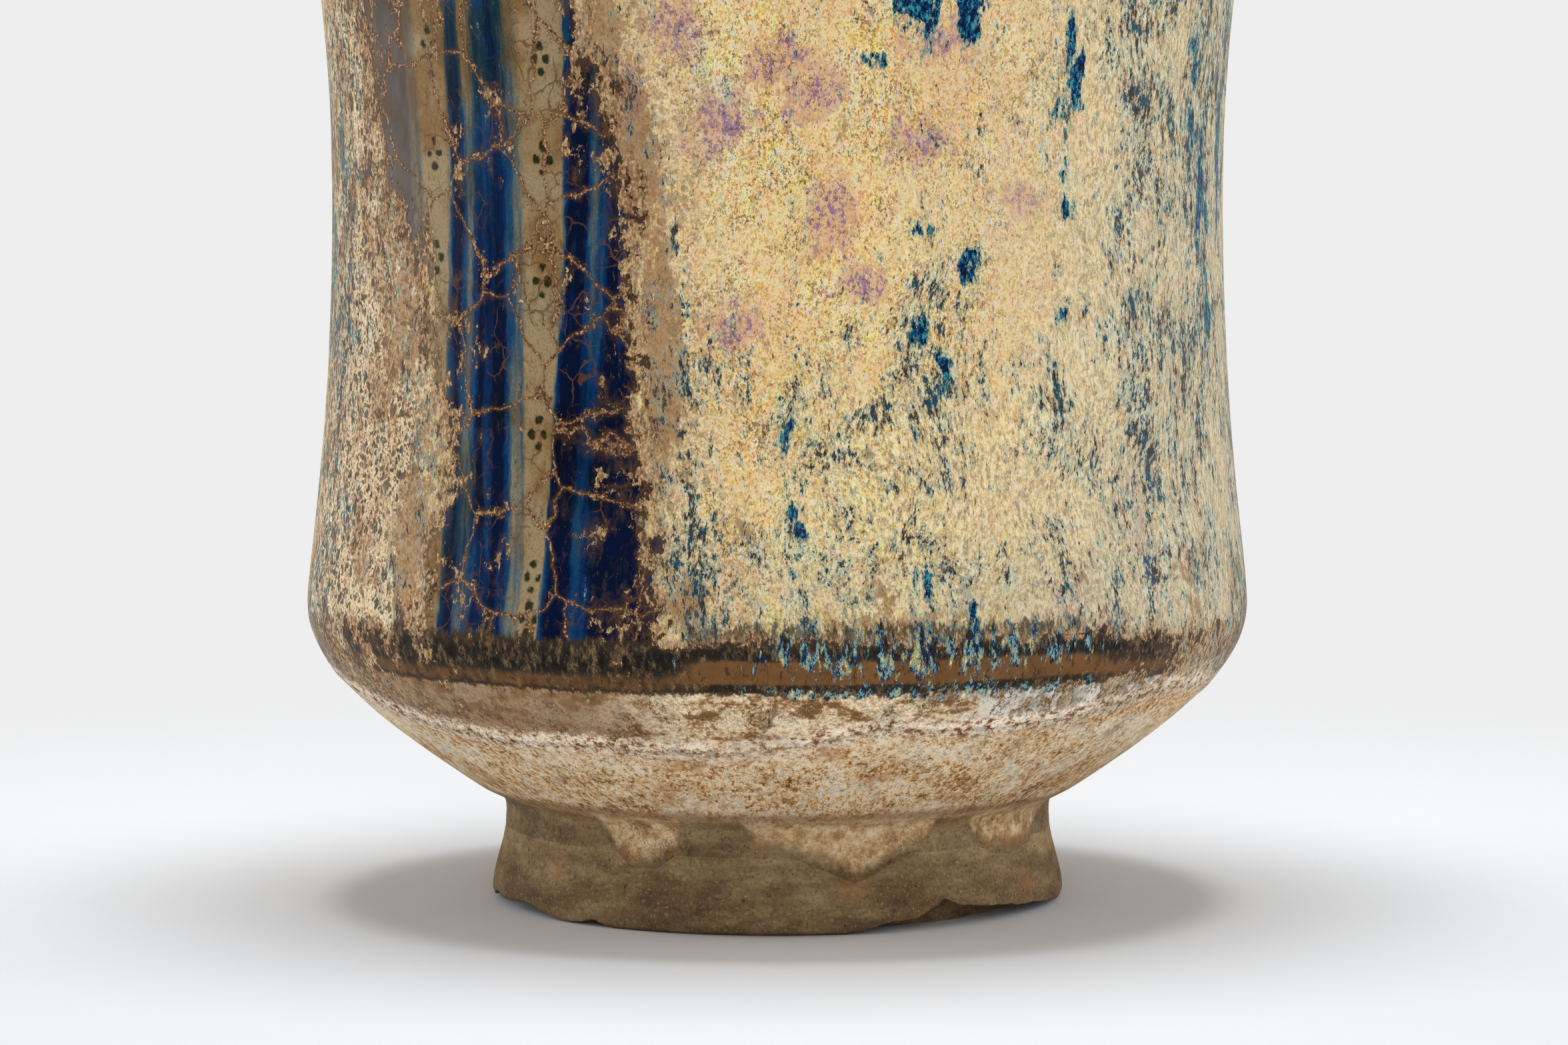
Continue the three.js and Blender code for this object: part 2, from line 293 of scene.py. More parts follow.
# Places where the crust is rose and violet: degrees, height, half width, half height, mm
ROSE_PATCHES = [
    (36, 55, 6, 4), (5, 138, 7, 5), (19.5, 146, 6, 3.5), (7, 119, 4, 7), (-17.5, 136, 2.5, 8),
    (-7, 133, 6, 6), (0.5, 143, 6, 4), (17, 130, 5, 4), (-5, 101, 5, 4), (40, 51, 6, 5), (31, 121, 5, 3.5),
    (-12, 148, 5, 5), (10, 108, 4, 3), (48, 70, 5, 9), (-5, 160, 8, 5), (104, 140, 8, 10),
    (-172, 130, 9, 12), (-110, 100, 8, 12), (150, 84, 9, 8),
]

# The wall's mean radius, by which degrees become millimetres
MEAN_RADIUS = 77

# The lower end of the thick glaze: degrees, and the height there
GLAZE_LINE = (
    [-180, -150, -120, -81, -65, -53, -41, -24, -6, 4, 13, 23, 39, 57, 80, 110, 145, 180],
    [36, 33.5, 38, 40.9, 37.3, 34.3, 32.7, 33.8, 32.8, 34.1, 36.7, 36.6, 37.6, 40.1, 38.5, 35, 38, 36],
)


def apart(turn, middle):
    """Degrees from a middle, the short way round, from -180 to 180."""
    return (turn - middle + 180) % 360 - 180


def window_depth(turn, height):
    """Degrees from the nearest window's edge: above 0 inside, below 0 outside."""
    depth = np.full(np.broadcast(turn, height).shape, -90.0)
    for heights, left, right in WINDOWS:
        middle = (np.array(left) + np.array(right)) / 2
        half = (np.array(right) - np.array(left)) / 2
        away = np.abs(apart(turn, np.interp(height, heights, middle)))
        beyond = np.maximum(heights[0] - height, height - heights[-1]).clip(0, None)
        depth = np.maximum(depth, np.interp(height, heights, half) - away - beyond)
    return depth


def patches(turn, height, places, in_mm=False):
    """The nearest patch's strength: 0 at its rim, and at its middle 1, or its half width in mm."""
    strength = np.full(np.broadcast(turn, height).shape, -3.0)
    for middle, level, wide, tall in places:
        side = np.radians(apart(turn, middle)) * MEAN_RADIUS / wide
        inward = 1 - np.sqrt(side**2 + ((height - level) / tall) ** 2)
        strength = np.maximum(strength, inward * (wide if in_mm else 1))
    return strength


def glaze_line(turn):
    """The height of the thick glaze's lower end: lines between its places, with a small wave added."""
    return np.interp(apart(turn, 0), *GLAZE_LINE) + 0.5 * np.sin(np.radians(turn * 7 + 40))


for heights, left, right in WINDOWS:
    print("window from", heights[0], "to", heights[-1], "mm up, left edge at", left[0], "degrees")
print("patches:", len(BLUE_PATCHES), "blue,", len(BROWN_PATCHES), "brown,", len(ROSE_PATCHES), "rose")

# %% [markdown]
# ## The painter's stripes
#
# The stripes were painted freehand round the turning jar, so no two are alike. The paint is stored
# as one running count: it is whole at the left edge of each cream stripe, rises by 0.36 across it
# and by 0.64 across the cobalt strokes beside it. A material then needs only its fraction to know
# which stroke it is in, and an unevenly painted jar costs nothing more than an uneven count.

# %% Stripes, dots and the thin wash
STRIPES = 19
STRIPE_SPACING = 360 / STRIPES
CREAM_SHARE = 0.36
FIRST_CREAM = -29.5
STRIPE_COUNTS = range(-12, 14)
DOT_COUNTS = range(-9, 12)
DOT_SPACING = 19.5
LOWEST_DOTS, HIGHEST_DOTS = 57, 190

# Half the width of a cream stripe: heights, and degrees there
HALF_WIDTHS = ([50, 150], [1.7, 3.5])

hand = np.random.default_rng(7)
STRIPE_SLIPS = hand.uniform(-0.9, 0.9, STRIPES)
STRIPE_WIDTHS = hand.uniform(0.8, 1.25, STRIPES)
STRIPE_PHASES = hand.uniform(0, 6.28, STRIPES)
FRONT_STRIPES = {
    0: ([50, 62, 84, 128, 153], [-31.6, -31, -32, -33, -33.5], [-28.4, -28, -27.4, -26, -25.5]),
    -1: ([50, 62, 84, 128, 153], [-46.5, -47, -48, -50, -50.5], [-43.4, -43, -44, -44, -44.4]),
}
DOT_HEIGHTS = {0: [54.2, 60.9, 83.8, 108, 127.4, 143.3, 163, 181], -1: [58, 88, 111.2, 128, 145.7, 166]}


def stripe_edges(count, height):
    """The left and right edge of one cream stripe, in degrees, at each height."""
    if count in FRONT_STRIPES:
        heights, left, right = FRONT_STRIPES[count]
        return np.interp(height, heights, left), np.interp(height, heights, right)
    one = count % STRIPES
    turn_of = FIRST_CREAM + STRIPE_SPACING * count + STRIPE_SLIPS[one]
    middle = turn_of + 0.5 * np.sin(height / 23 + STRIPE_PHASES[one])
    half = STRIPE_WIDTHS[one] * np.interp(height, *HALF_WIDTHS)
    return middle - half, middle + half


def stripe_count(turn, height):
    """The running count of stripes: for each, 0.36 over its cream and 0.64 over the cobalt after it."""
    total = np.full(np.broadcast(turn, height).shape, float(STRIPE_COUNTS.start))
    for count in STRIPE_COUNTS:
        left, right = stripe_edges(count, height)
        after, _ = stripe_edges(count + 1, height)
        total = total + CREAM_SHARE * np.clip((turn - left) / (right - left), 0, 1)
        total = total + (1 - CREAM_SHARE) * np.clip((turn - right) / (after - right), 0, 1)
    return total


def dot_distances(turn, height):
    """How far sideways and upward the nearest group of dots is, in millimetres."""
    side = np.full(np.broadcast(turn, height).shape, 30.0)
    rise = np.full_like(side, 30.0)
    for count in DOT_COUNTS:
        left, right = stripe_edges(count, height)
        here = np.abs(np.radians(turn - (left + right) / 2)) * MEAN_RADIUS
        slip = STRIPE_SLIPS[count % STRIPES]
        evenly = np.arange(LOWEST_DOTS + 9 * slip, HIGHEST_DOTS, DOT_SPACING + slip)
        levels = DOT_HEIGHTS.get(count, evenly)
        near = np.abs(height[..., None] - np.array(levels)).min(-1)
        closer = here < side
        side = np.where(closer, here, side)
        rise = np.where(closer, near, rise)
    return side, rise


# How far down the thin wash lies thick on the foot: degrees, and the height of its lower end there
WASH_LINE = (
    [-180, -172, -160, -150, -134, -128, -118, -110, -104, -77, -48, -39, -36, -31, -25, -20.7, -19, -7.5,
     -4.8, 0, 5, 10.6, 15.4, 19.7, 25.5, 31.7, 34, 42, 44, 49, 56, 65, 69, 76, 100, 106, 116, 127, 134, 154,
     162, 180],
    [11.4, 12.8, 18.0, 18.6, 18.2, 13.4, 12.0, 14.2, 18.6, 19.2, 18.6, 17.7, 14.5, 11.7, 11.8, 14.2, 18.5,
     18.8, 15.5, 14.9, 13.2, 11.5, 9.8, 10.9, 13.4, 14.5, 17.6, 17.9, 15.1, 12.7, 12.2, 13.1, 15.6, 18.5,
     18.4, 14.0, 11.2, 12.4, 18.2, 18.4, 13.2, 11.4],
)
WASH_MARGIN = 1.8
WASH_LIMIT = 12.2


def wash_end(turn):
    """The height where the wash ends: straight lines between its places."""
    return np.interp(apart(turn, 0), *WASH_LINE)


def glaze_edge(turn):
    """The lower edge of the coat on the foot: a little below the wash, and never above its limit."""
    return np.minimum(wash_end(turn) - WASH_MARGIN, WASH_LIMIT)


print("stripes:", STRIPES, "of", round(STRIPE_SPACING, 1), "degrees; wash down to", min(WASH_LINE[1]), "mm")

# %% [markdown]
# ## From grids to meshes
#
# Every surface here is a grid of points, one row for each place along the profile and one column for
# each angle. A mesh needs only the points, four corners for each face, and the values that the
# materials read. Writing whole arrays is far quicker than adding vertices one by one. The normals
# are worked out on the whole ring, before it is cut into pieces, so no seam shows between them.

# %% Grid to mesh


def ring(radius, height, turn):
    """Points round the axis: x is r sin(turn), y is -r cos(turn), so turn 0 is the front."""
    angle = np.radians(turn)
    height = np.broadcast_to(height, radius.shape)
    return np.stack([radius * np.sin(angle), -radius * np.cos(angle), height], -1)


def grid_normals(points):
    """The unit normal at each grid point, from the difference of its neighbours both ways."""
    up = np.gradient(points, axis=0)
    wrapped = np.concatenate([points[:, -2:-1], points, points[:, 1:2]], axis=1)
    around = (wrapped[:, 2:] - wrapped[:, :-2]) / 2
    normal = np.cross(around, up)
    return normal / np.maximum(np.linalg.norm(normal, axis=-1, keepdims=True), 1e-12)


def make_piece(name, points, normals, material, node, slot, values=None):
    """A mesh from one grid in millimetres, which stands for a solid of the frame."""
    rows, columns = points.shape[:2]
    index = np.arange(rows * columns).reshape(rows, columns)
    corners = [index[:-1, :-1], index[:-1, 1:], index[1:, 1:], index[1:, :-1]]
    faces = np.stack(corners, -1).reshape(-1, 4)
    mesh = bpy.data.meshes.new(name)
    mesh.vertices.add(rows * columns)
    mesh.vertices.foreach_set("co", (points * MM).astype(np.float32).ravel())
    mesh.loops.add(faces.size)
    mesh.loops.foreach_set("vertex_index", faces.ravel().astype(np.int32))
    mesh.polygons.add(len(faces))
    mesh.polygons.foreach_set("loop_start", np.arange(0, faces.size, 4, dtype=np.int32))
    mesh.update(calc_edges=True)
    mesh.shade_smooth()
    mesh.normals_split_custom_set_from_vertices(normals.reshape(-1, 3).tolist())
    for key, value in (values or {}).items():
        layer = mesh.attributes.new(key, "FLOAT", "POINT")
        layer.data.foreach_set("value", np.broadcast_to(value, (rows, columns)).astype(np.float32).ravel())
    mesh.materials.append(material)
    piece = bpy.data.objects.new(name, mesh)
    bpy.context.scene.collection.objects.link(piece)
    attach(piece, "root")
    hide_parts(node)
    print(f"{name}: {len(faces) * 2} triangles")


# %% [markdown]
# ## Materials from nodes
#
# A node material is a small program, so a few helpers let it read like one. The smallest add one
# node, join its inputs and give back its output, and the others are made of those. Positions come
# from Object coordinates, scaled to millimetres, so that every size below is a real one.

# %% Node helpers


def rgb(red, green, blue):
    """A colour written as on a screen, 0 to 255, turned into the linear values that shaders use."""
    value = np.array([red, green, blue]) / 255
    linear = np.where(value <= 0.04045, value / 12.92, ((value + 0.055) / 1.055) ** 2.4)
    return (*linear.tolist(), 1.0)


def grey(amount):
    """A colour without hue, as a linear value."""
    return (amount, amount, amount, 1.0)


def add_node(tree, kind, inputs=None, output=0, **settings):
    """One shader node, with its settings and its inputs, and the one output that is wanted."""
    node = tree.nodes.new("ShaderNode" + kind)
    for key, setting in settings.items():
        setattr(node, key, setting)
    for key, value in (inputs or {}).items():
        if isinstance(value, bpy.types.NodeSocket):
            tree.links.new(value, node.inputs[key])
        else:
            node.inputs[key].default_value = value
    return node.outputs[output]


class Recipe:
    """A material being put together node by node, with its own place in millimetres."""

    def __init__(self, name):
        self.material = bpy.data.materials.new(name)
        self.material.use_nodes = True
        self.tree = self.material.node_tree
        self.shader = self.tree.nodes["Principled BSDF"]
        self.place = self.stretched(self.add("TexCoord", output="Object"), (1 / MM, 1 / MM, 1 / MM))

    def add(self, kind, inputs=None, output=0, **settings):
        """One node in this material."""
        return add_node(self.tree, kind, inputs, output, **settings)

    def stretched(self, vector, scale, shift=(0, 0, 0)):
        """The vector times the scale, plus the shift."""
        return self.add("Mapping", {"Vector": vector, "Location": shift, "Scale": scale}, "Vector")

    def value(self, name):
        """What the mesh says under this name, at each point."""
        return self.add("Attribute", output="Fac", attribute_name=name)

    def math(self, operation, *values):
        """One sum on single values, by Blender's own word for it."""
        return self.add("Math", dict(enumerate(values)), operation=operation)

    def vectors(self, operation, *values, output="Vector"):
        """One sum on vectors."""
        return self.add("VectorMath", dict(enumerate(values)), output, operation=operation)

    def plus(self, first, *more):
        """All of them added up."""
        for one in more:
            first = self.math("ADD", first, one)
        return first

    def times(self, first, *more):
        """All of them multiplied."""
        for one in more:
            first = self.math("MULTIPLY", first, one)
        return first

    def less(self, first, second):
        """The first less the second."""
        return self.math("SUBTRACT", first, second)

    def larger(self, first, second):
        """Whichever of the two is larger."""
        return self.math("MAXIMUM", first, second)

    def absolute(self, value):
        """The value without its sign."""
        return self.math("ABSOLUTE", value)

    def fade(self, value, low, high, start=0.0, end=1.0):
        """Goes smoothly from start to end while the value goes from low to high."""
        names = ("Value", "From Min", "From Max", "To Min", "To Max")
        parts = dict(zip(names, (value, low, high, start, end)))
        return self.add("MapRange", parts, "Result", interpolation_type="SMOOTHSTEP")

    def noise(self, size, squash=(1, 1, 1), detail=3.0, rough=0.55, shift=(0, 0, 0), vector=None):
        """Clouds whose largest features are about size millimetres; squash below 1 draws them out."""
        place = self.stretched(vector or self.place, squash, shift)
        parts = {"Vector": place, "Scale": 1 / size, "Detail": detail, "Roughness": rough}
        return self.add("TexNoise", parts, "Fac")

    def centred(self, *values, **named):
        """The same clouds, from about -0.3 to 0.3."""
        return self.less(self.noise(*values, **named), 0.5)

    def uneven(self, name, amount, *values, **named):
        """The value of this name, made ragged by clouds of this amount."""
        return self.plus(self.value(name), self.times(self.centred(*values, **named), amount))

    def sparkle(self, size, squash, gain, detail=3.0, rough=0.7, shift=(0, 0, 0), vector=None):
        """Clouds in red, green and blue apart from each other, drawn away from grey by the gain."""
        clouded = self.noise(size, squash, detail, rough, shift, vector).node.outputs["Color"]
        return self.vectors("MULTIPLY_ADD", clouded, (gain,) * 3, (0.5 - gain / 2,) * 3)

    def threads(self, size, squash, width, place, shift=(0, 0, 0)):
        """Thin crooked lines: the places where clouds pass through their middle value."""
        middle = self.absolute(self.centred(size, squash, 3, 0.6, shift=shift, vector=place))
        return self.fade(middle, 0.0, width, 1.0, 0.0)

    def cracks(self, size, squash, vector):
        """How far each point is from the nearest wall between random cells, where 1 is a cell's size."""
        parts = {"Vector": self.stretched(vector, squash), "Scale": 1 / size}
        return self.add("TexVoronoi", parts, "Distance", feature="DISTANCE_TO_EDGE")

    def over(self, base, value, low, high, share, tint):
        """The tint over the base: none of it where the value is low, and the whole share at high."""
        return self.mix(self.fade(value, low, high, 0.0, share), base, tint)

    def mix(self, share, first, second, way="MIX"):
        """From the first colour where the share is 0 to the second where it is 1, mixed in this way."""
        return self.add("Mix", {0: share, 6: first, 7: second}, 2, data_type="RGBA", blend_type=way)

    def ramp(self, value, stops):
        """A colour for each value, by straight lines between the stops."""
        colour = self.add("ValToRGB", {"Fac": value}, "Color")
        elements = colour.node.color_ramp.elements
        while len(elements) < len(stops):
            elements.new(1.0)
        for element, stop in zip(elements, stops):
            element.position, element.color = stop
        return colour

    def bent(self, size, pull, seed=(0, 0, 0), detail=4.0):
        """The place, pushed about by clouds, so that straight cracks and cells become crooked."""
        place = self.stretched(self.place, (1, 1, 1), seed)
        wave = self.add("TexNoise", {"Vector": place, "Scale": 1 / size, "Detail": detail}, "Color")
        return self.vectors("MULTIPLY_ADD", wave, (pull,) * 3, self.place)

    def drum(self, radius):
        """The place moved level to one radius, so that spots on a slope look round from the side."""
        outward = self.vectors("NORMALIZE", self.vectors("MULTIPLY", self.place, (1, 1, 0)))
        rise = self.vectors("MULTIPLY", self.place, (0, 0, 1))
        return self.vectors("MULTIPLY_ADD", outward, (radius,) * 3, rise)

    def distance(self, spot):
        """How far each point is from a spot, in millimetres."""
        return self.vectors("DISTANCE", self.place, spot, output="Value")

    def bump(self, height, depth, under=None):
        """Shading as if the surface rose by depth millimetres where the height is 1."""
        parts = {"Strength": 1.0, "Distance": depth * MM, "Height": height}
        if under is not None:
            parts["Normal"] = under
        return self.add("Bump", parts, "Normal")

    def finish(self, colour, roughness, normal, specular=0.5):
        """The colour, roughness and relief joined to the shader, and the material that is ready."""
        self.shader.inputs["Specular IOR Level"].default_value = specular
        self.tree.links.new(colour, self.shader.inputs["Base Color"])
        self.tree.links.new(normal, self.shader.inputs["Normal"])
        if isinstance(roughness, float):
            self.shader.inputs["Roughness"].default_value = roughness
        else:
            self.tree.links.new(roughness, self.shader.inputs["Roughness"])
        return self.material


# %% [markdown]
# ## The paint
#
# Cobalt is stronger where the brush pressed and overlapped, and it bleeds a little into the glaze.
# One number says how much cobalt lies at each point, and a ramp turns that number into cream, grey,
# blue or navy. Each group of dots on the cream is four small ones in a diamond, so its distance is
# worked out in a quarter of it: to the dot at its side and to the one above, whichever is nearer.

# %% Paint
PAINT = [
    (0.04, rgb(156, 136, 102)), (0.2, rgb(128, 122, 102)), (0.35, rgb(86, 100, 104)),
    (0.48, rgb(28, 72, 104)), (0.64, rgb(0, 46, 92)), (0.86, rgb(0, 14, 46)),
]


def painted(r, height):
    """The paint: how much cobalt lies at each point, by its place in the stripe, and then its dots."""
    stroke = r.uneven("stroke", 0.09, 1.6, (1, 1, 0.3), 4, 0.6)
    laid = r.ramp(
        r.math("FRACT", stroke),
        [
            (0.0, grey(0.24)), (0.05, grey(0.02)), (0.31, grey(0.0)), (0.39, grey(0.72)),
            (0.46, grey(0.74)), (0.53, grey(0.26)), (0.57, grey(0.3)), (0.65, grey(0.74)),
            (0.71, grey(0.56)), (0.78, grey(0.8)), (0.85, grey(0.66)), (0.92, grey(0.28)), (1.0, grey(0.26)),
        ],
    )
    brushed = r.add("CombineXYZ", {0: r.times(stroke, 15.0), 1: r.times(height, 0.02)})
    hair = r.centred(1.0, detail=3, rough=0.6, vector=brushed)
    press = r.plus(hair, r.value("dose"), r.times(r.centred(9, (1, 1, 0.4), 3, 0.5), 0.7))
    amount = r.plus(laid, r.times(press, r.fade(laid, 0.02, 0.3)))
    body = r.ramp(amount, PAINT)
    grain = r.fade(r.noise(0.4, detail=2, rough=0.6), 0.42, 0.7)
    body = r.mix(r.times(grain, 0.5), body, rgb(190, 176, 160), "MULTIPLY")
    side = r.uneven("dot_side", 1.6, 1.8, detail=2, shift=(5, 9, 2))
    rise = r.uneven("dot_rise", 1.8, 1.8, detail=2, shift=(15, 4, 7))
    beside = r.plus(r.math("POWER", r.less(side, 1.1), 2.0), r.math("POWER", rise, 2.0))
    above = r.plus(r.math("POWER", side, 2.0), r.math("POWER", r.less(rise, 2.1), 2.0))
    near = r.math("SQRT", r.math("MINIMUM", beside, above))
    dot = r.times(r.fade(near, 0.5, 0.95, 0.95, 0.0), r.fade(laid, 0.02, 0.2, 1.0, 0.0))
    return r.mix(dot, body, rgb(20, 34, 14))


# %% [markdown]
# ## Stain, crackle and the black band
#
# Clear glaze shrinks more than the paste as it cools, so it crackles. Earth got into the cracks:
# they are brown, their sides are stained, and ochre crumbs sit on them. A black band was painted
# where the wall turns under. A dark film still lies all along it, but its middle is worn to brown:
# broadly in front, and in a narrow strip at the left. Pale clay shows below it, soiled on the left.

# %% Stain, crackle and band
CRACK_CELL = 12.5
CRUMB_TINTS = [
    (0.38, rgb(56, 38, 24)), (0.48, rgb(112, 80, 52)),
    (0.56, rgb(164, 122, 84)), (0.66, rgb(218, 180, 138)),
]
CLAY_TINTS = [
    (0.37, rgb(118, 86, 54)), (0.43, rgb(150, 112, 74)),
    (0.46, rgb(212, 178, 132)), (0.52, rgb(246, 226, 190)),
]
BLACK_TINTS = [
    (0.38, rgb(8, 10, 14)), (0.5, rgb(40, 38, 34)), (0.56, rgb(86, 70, 50)), (0.64, rgb(130, 106, 76)),
]


def crackled(r, colour, height):
    """Brown stain, two sizes of crack, and the lumps of earth along the larger cracks."""
    wash = r.noise(11, (1, 1, 0.7), 5, 0.6, shift=(3, 8, 1))
    wash = r.plus(wash, r.fade(height, 118, 158, 0.0, 0.16))
    colour = r.mix(r.fade(wash, 0.48, 0.7, 0.0, 0.8), colour, rgb(206, 172, 120), "MULTIPLY")
    gap = r.times(r.cracks(CRACK_CELL, (1, 1, 0.85), r.bent(4, 3.6)), CRACK_CELL)
    fine = r.cracks(4.6, (1, 1, 0.9), r.bent(3.5, 3.4, (7, 1, 4)))
    patchy = r.fade(r.noise(8, detail=3, shift=(2, 5, 8)), 0.46, 0.62)
    thread = r.times(r.fade(fine, 0.01, 0.04, 0.75, 0.0), patchy)
    colour = r.mix(thread, colour, rgb(92, 60, 34))
    halo = r.fade(gap, 0.1, 0.7, 0.3, 0.0)
    colour = r.mix(halo, colour, rgb(104, 70, 38))

    lumps = r.noise(0.9, detail=5, rough=0.72, shift=(8, 1, 1))
    strong = r.noise(9, detail=2, shift=(4, 4, 9))
    reach = r.plus(r.fade(lumps, 0.46, 0.76, 0.0, 1.3), r.fade(strong, 0.42, 0.64, -0.4, 0.25))
    root = r.fade(r.less(gap, reach), -0.08, 0.04, 1.0, 0.0)
    line = r.fade(gap, 0.1, 0.2, 0.85, 0.0)
    crumbs = r.larger(root, line)
    earth = r.ramp(r.noise(0.42, detail=3, rough=0.7, shift=(1, 7, 3)), CRUMB_TINTS)
    colour = r.mix(crumbs, colour, earth)
    scratch = r.noise(0.6, (1, 1, 0.25), 5, 0.72, shift=(4, 7, 7), vector=r.bent(9, 5, (1, 5, 5)))
    dust = r.plus(scratch, r.fade(r.value("cover"), -0.1, 0.4, -0.05, 0.13))
    return r.over(colour, dust, 0.62, 0.68, 0.75, rgb(98, 66, 38)), crumbs


def banded(r, colour):
    """The clay, the dark film, the brown strip and the black, each where its mark is strong."""
    rough = r.centred(1.6, (1, 1, 0.5), 6, 0.76)
    lumpy = r.times(r.centred(0.8, detail=4, rough=0.8), 0.3)
    clay = r.ramp(r.plus(r.noise(4, (0.6, 0.6, 1.1), 6, 0.66), lumpy), CLAY_TINTS)
    clay = r.mix(r.value("soiled"), clay, rgb(144, 114, 82))
    gritty = r.noise(0.7, (1, 1, 1.1), 4, 0.82, shift=(2, 9, 2))
    clay = r.over(clay, gritty, 0.56, 0.42, 0.55, rgb(128, 92, 60))
    clay = r.mix(r.fade(r.plus(r.value("misty"), r.times(rough, 2)), 0.3, 0.9), clay, rgb(226, 220, 206))
    colour = r.mix(r.fade(r.plus(r.value("under"), rough), 0.3, 0.7), colour, clay)
    whole = r.plus(r.value("band"), r.value("worn"), r.times(rough, 2))
    colour = r.over(colour, whole, 0.15, 0.45, 0.95, rgb(58, 46, 34))
    brown = r.mix(r.noise(3, (0.6, 0.6, 1), 5, 0.65), rgb(138, 96, 56), rgb(84, 60, 36))
    streak = r.noise(1.2, (1, 1, 0.2), 4, 0.7, shift=(3, 3, 3))
    brown = r.over(brown, streak, 0.54, 0.64, 0.7, rgb(44, 40, 34))
    colour = r.mix(r.fade(r.plus(r.value("worn"), r.times(rough, 1.6)), 0.3, 0.7), colour, brown)
    black = r.fade(r.plus(r.value("band"), r.times(rough, 2.2)), 0.25, 0.8)
    return r.mix(r.times(black, 0.9), colour, r.ramp(r.noise(1.6, (1, 1, 0.5), 5, 0.8), BLACK_TINTS))


# %% [markdown]
# ## The crust
#
# Buried glaze turns to thin layers that flake. They are golden and cream, with tints of rose and
# silver where the layers are thinnest, and brown where soil clings. Some plates of it stay smooth,
# violet lies as a net over the rose, and at the sides light and dark are combed upright. Dark slits
# between the flakes show what lies under. A slit and the teal fringe round it are two ranges of one
# noise, so that they always lie in order. Where a whole patch has come off, its blue paint shows.

# %% Crust
PATCH_TINTS = [
    (0.34, rgb(208, 154, 102)), (0.42, rgb(234, 188, 122)), (0.48, rgb(246, 212, 146)),
    (0.54, rgb(244, 224, 168)), (0.61, rgb(222, 220, 188)), (0.69, rgb(190, 198, 188)),
]
# Flake colours from dark brown in the low places to near white on the raised flakes: partly their own tints,
# partly painted light and shade.
FLAKE_TINTS_AND_SHADING = [
    (0.36, rgb(70, 52, 38)), (0.43, rgb(160, 116, 74)), (0.485, rgb(230, 184, 114)),
    (0.53, rgb(252, 226, 152)), (0.565, rgb(255, 250, 226)), (0.61, rgb(176, 212, 220)),
]
ROPE_TINTS = [
    (0.0, rgb(26, 44, 50)), (0.22, rgb(74, 70, 62)), (0.4, rgb(156, 124, 90)),
    (0.56, rgb(210, 174, 130)), (0.72, rgb(238, 214, 172)), (0.9, rgb(250, 240, 220)),
]
COMB_TINTS = [
    (0.36, rgb(30, 44, 56)), (0.42, rgb(70, 118, 134)), (0.455, rgb(182, 154, 106)),
    (0.515, rgb(246, 214, 138)), (0.56, rgb(255, 244, 200)), (0.63, rgb(220, 234, 226)),
]
BLUE_TINTS = [
    (0.42, rgb(10, 20, 34)), (0.47, rgb(6, 34, 84)), (0.53, rgb(12, 70, 110)), (0.6, rgb(60, 150, 156)),
]
SHINE_TINTS = [
    (0.36, rgb(20, 18, 18)), (0.45, rgb(50, 42, 36)), (0.475, rgb(14, 54, 120)),
    (0.505, rgb(34, 132, 148)), (0.535, rgb(168, 208, 198)), (0.565, rgb(96, 84, 60)),
    (0.6, rgb(214, 186, 96)), (0.68, rgb(244, 232, 200)),
]
EARTH_TINTS = [
    (0.36, rgb(66, 46, 30)), (0.46, rgb(118, 86, 56)),
    (0.53, rgb(172, 130, 90)), (0.61, rgb(220, 182, 142)),
]


def flakes(r, lean, plate):
    """The flakes without their slits: patches of some millimetres, then fine flakes of every tint, painted
    lit and shaded.
    """
    patch = r.noise(8, (1, 1, 0.6), 6, 0.7, shift=(9, 4, 2), vector=lean)
    broad = r.centred(34, (1, 1, 0.75), 3, 0.55, shift=(4, 1, 9))
    base = r.ramp(r.plus(patch, r.times(broad, 0.4), r.times(r.value("silver"), 0.13)), PATCH_TINTS)
    murky = r.noise(4, (1, 1, 0.6), 7, 0.78, shift=(5, 0, 8), vector=lean)
    base = r.over(base, murky, 0.51, 0.62, 0.55, rgb(166, 126, 84))
    golden = r.uneven("golden", 3.0, 9, (1, 1, 0.7), 6, 0.7, shift=(2, 0, 3))
    base = r.over(base, golden, 0.4, 1.2, 0.6, rgb(250, 204, 118))
    misty = r.uneven("silver", 1.6, 9, (1, 1, 0.3), 6, 0.7, shift=(8, 3, 3))
    base = r.over(base, misty, 0.1, 0.8, 0.75, rgb(190, 196, 182))
    coarse = r.noise(1.3, (1, 1, 0.75), 6, 0.85, shift=(1, 8, 8), vector=lean)
    matted = r.less(r.threads(0.9, (1, 1, 0.7), 0.12, lean, (3, 3, 3)), 0.4)
    fine = r.noise(0.4, (1, 1, 0.8), 3, 0.8)
    flake = r.plus(r.times(coarse, 0.5), r.times(fine, 0.5), r.times(matted, 0.09))
    # Partly painted light and shade: the same flake value raises the relief, and this ramp makes the low
    # places between flakes dark and the raised flakes near white, besides giving their own tints.
    base = r.mix(0.64, base, r.ramp(flake, FLAKE_TINTS_AND_SHADING))
    base = r.mix(0.6, base, r.sparkle(3, (1, 1, 0.6), 1.6, 5, 0.75, (3, 1, 1), lean), "SOFT_LIGHT")
    vivid = r.plus(0.34, r.times(r.value("silver"), 0.4), r.times(r.value("golden"), 0.16))
    base = r.mix(vivid, base, r.sparkle(0.6, (1, 1, 0.8), 1.3, 3, 0.8, (7, 7, 1)), "OVERLAY")
    smooth = r.mix(patch, rgb(216, 168, 110), rgb(246, 218, 166))
    return r.over(base, plate, 0.0, 0.05, 0.32, smooth), flake


